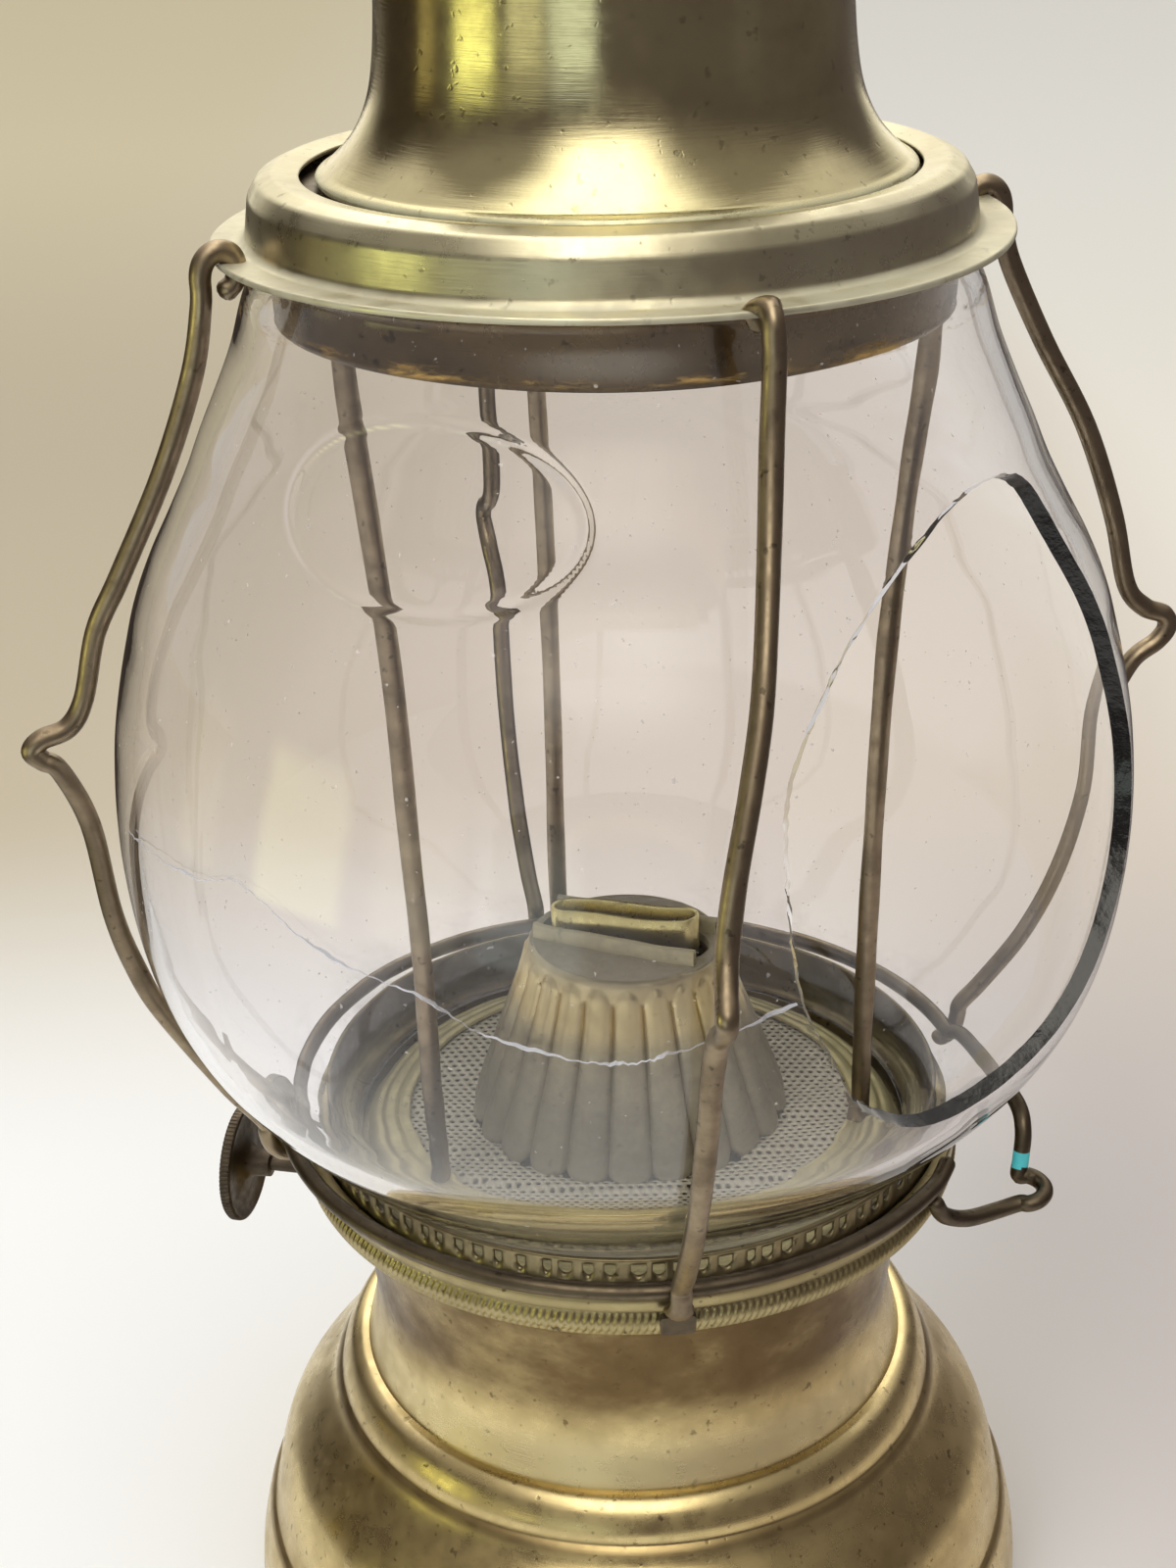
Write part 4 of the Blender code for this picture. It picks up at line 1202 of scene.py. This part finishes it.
def strip(tree, azimuth, centre, half, soft):
    """1 within half degrees of a direction round the room."""
    away = calc(tree, "ABSOLUTE", calc(tree, "SUBTRACT", azimuth, radians(centre)))
    return steps_of(tree, away, radians(half), radians(half + soft), 1.0, 0.0)


def mirror_ray(tree):
    """1 on a reflected ray, 0 on one that went through glass."""
    path = node(tree, "LightPath").outputs
    return calc(tree, "MULTIPLY", path["Is Glossy Ray"],
                calc(tree, "SUBTRACT", 1.0, path["Is Transmission Ray"]))


def room_colour(tree, split, shown):
    """What mirror reflections see round the lantern: a dark room with windows where shown is 1."""
    azimuth = calc(tree, "ARCTAN2", split.outputs["X"],
                   calc(tree, "MULTIPLY", split.outputs["Y"], -1.0))
    room = blend(tree, strip(tree, azimuth, -160, 60, 25), rgb((0.13, 0.11, 0.11)),
                 rgb((0.06, 0.045, 0.035)))
    for centre, half, soft, colour in WINDOWS:
        pane = calc(tree, "MULTIPLY", strip(tree, azimuth, centre, half, soft), shown)
        room = blend(tree, pane, room, rgb(colour))
    return room


def make_floor():
    """Pale cloth. Further from the lantern, mirror reflections see the room in its place."""
    made, tree, shader = new_material("pale_cloth")
    spot = node(tree, "TexCoord").outputs["Object"]
    split = node(tree, "SeparateXYZ", {"Vector": spot})
    right = steps_of(tree, split.outputs["X"], 0.0, 0.12)
    near = blend(tree, right, rgb((0.94, 0.94, 0.93)), rgb((0.62, 0.57, 0.55)))
    left = steps_of(tree, split.outputs["X"], 0.02, -0.2)
    back = blend(tree, left, rgb((0.75, 0.67, 0.58)), rgb((0.58, 0.505, 0.38)))
    side = steps_of(tree, split.outputs["X"], 0.14, 0.24)
    back = blend(tree, side, back, rgb((0.92, 0.88, 0.8)))
    colour = blend(tree, steps_of(tree, split.outputs["Y"], 0.1, 0.32), near, back)
    far = blend(tree, steps_of(tree, split.outputs["X"], -0.35, 0.25), rgb((0.8, 0.71, 0.5)),
                rgb((0.95, 0.93, 0.89)))
    colour = blend(tree, steps_of(tree, split.outputs["Y"], 0.6, 1.5), colour, far)
    tree.links.new(colour, shader.inputs["Base Color"])
    shader.inputs["Roughness"].default_value = 0.9
    shader.inputs["Specular IOR Level"].default_value = 0.1
    away = node(tree, "VectorMath", {"Vector": spot}, operation="LENGTH")
    beyond = steps_of(tree, away.outputs["Value"], CLOTH_NEAR, CLOTH_FAR)
    mirror = mirror_ray(tree)
    shown = steps_of(tree, away.outputs["Value"], 0.47, 0.53)
    room = node(tree, "Emission", {"Color": room_colour(tree, split, shown)})
    made.cycles.emission_sampling = "NONE"
    finish(tree, mix(tree, calc(tree, "MULTIPLY", beyond, mirror), shader, room))
    size = 4.0
    mesh = bpy.data.meshes.new("floor")
    mesh.from_pydata([(-size, -size, 0), (size, -size, 0), (size, size, 0), (-size, size, 0)],
                     [], [(0, 1, 2, 3)])
    mesh.materials.append(made)
    floor = bpy.data.objects.new("floor", mesh)
    bpy.context.scene.collection.objects.link(floor)


def add_light(name, azimuth, distance, height, width, tall, power):
    """A soft light aimed at the globe, seen neither in reflections nor through glass."""
    data = bpy.data.lights.new(name, "AREA")
    data.shape = "RECTANGLE"
    data.size, data.size_y = width, tall
    data.energy = power
    lamp = bpy.data.objects.new(name, data)
    lamp.location = at(distance, height, azimuth)
    lamp.rotation_euler = (Vector((0, 0, 0.15)) - lamp.location).to_track_quat(
        "-Z", "Y").to_euler()
    lamp.visible_glossy = False
    lamp.visible_transmission = False
    bpy.context.scene.collection.objects.link(lamp)


def make_light():
    """Even light on the cloth. Mirror reflections see a room with windows to the left."""
    add_light("key", azimuth=-35, distance=1.1, height=0.9, width=0.7, tall=0.7, power=8.0)
    add_light("top", azimuth=15, distance=0.25, height=1.4, width=0.9, tall=0.8, power=5.0)
    world = bpy.data.worlds.new("studio")
    world.use_nodes = True
    bpy.context.scene.world = world
    tree = world.node_tree
    shade = tree.nodes["Background"]
    way = node(tree, "TexCoord").outputs["Generated"]
    split = node(tree, "SeparateXYZ", {"Vector": way})
    room = room_colour(tree, split, steps_of(tree, split.outputs["Z"], 0.15, -0.02))
    across = calc(tree, "ABSOLUTE", calc(tree, "ADD", split.outputs["X"], 0.06))
    behind = calc(tree, "MULTIPLY", steps_of(tree, split.outputs["Y"], 0.25, 0.6),
                  steps_of(tree, across, 0.7, 0.35))
    room = blend(tree, behind, room, rgb((1.3, 1.22, 1.02)))
    up = steps_of(tree, split.outputs["Z"], 0.32, 0.62)
    edges = blend(tree, steps_of(tree, split.outputs["Y"], 0.08, 0.3), rgb((0.32, 0.29, 0.26)),
                  rgb((0.85, 0.8, 0.76)))
    ceiling = blend(tree, steps_of(tree, across, 0.12, 0.5), rgb((3.2, 3.05, 2.75)), edges)
    room = blend(tree, up, room, ceiling)
    mirror = mirror_ray(tree)
    even = rgb((0.66, 0.65, 0.62))
    tree.links.new(blend(tree, mirror, even, room), shade.inputs["Color"])
    shade.inputs["Strength"].default_value = 1.0
    world.cycles.sampling_method = "NONE"


def make_camera():
    """Looks at the lantern as the photograph does: the pose was solved from its circles."""
    data = bpy.data.cameras.new("camera")
    data.sensor_width = 36
    data.lens = 54.107
    camera = bpy.data.objects.new("camera", data)
    right = Vector((0.99970, 0.00503, -0.02403))
    up = Vector((0.01967, 0.42155, 0.90657))
    back = Vector((0.01469, -0.90677, 0.42132))
    turn = Matrix((right, up, back)).transposed()
    stand = (0, -0.32298, 0.29844)
    camera.matrix_world = Matrix.Translation(stand) @ turn.to_4x4()
    data.clip_start = 0.01
    bpy.context.scene.collection.objects.link(camera)
    bpy.context.scene.camera = camera
    bpy.context.scene.view_settings.view_transform = "Standard"


def main():
    make_camera()
    make_bell()
    make_lock_ring()
    make_wick_tube()
    make_wick()
    make_knob()
    make_cone()
    make_cup()
    make_annulus()
    make_draught_plate()
    make_globe()
    make_crack()
    make_collar()
    make_rods()
    make_guard()
    make_ring()
    make_clasp()
    make_hood()
    make_bail()
    dress_cad_nodes()
    make_floor()
    make_light()


main()
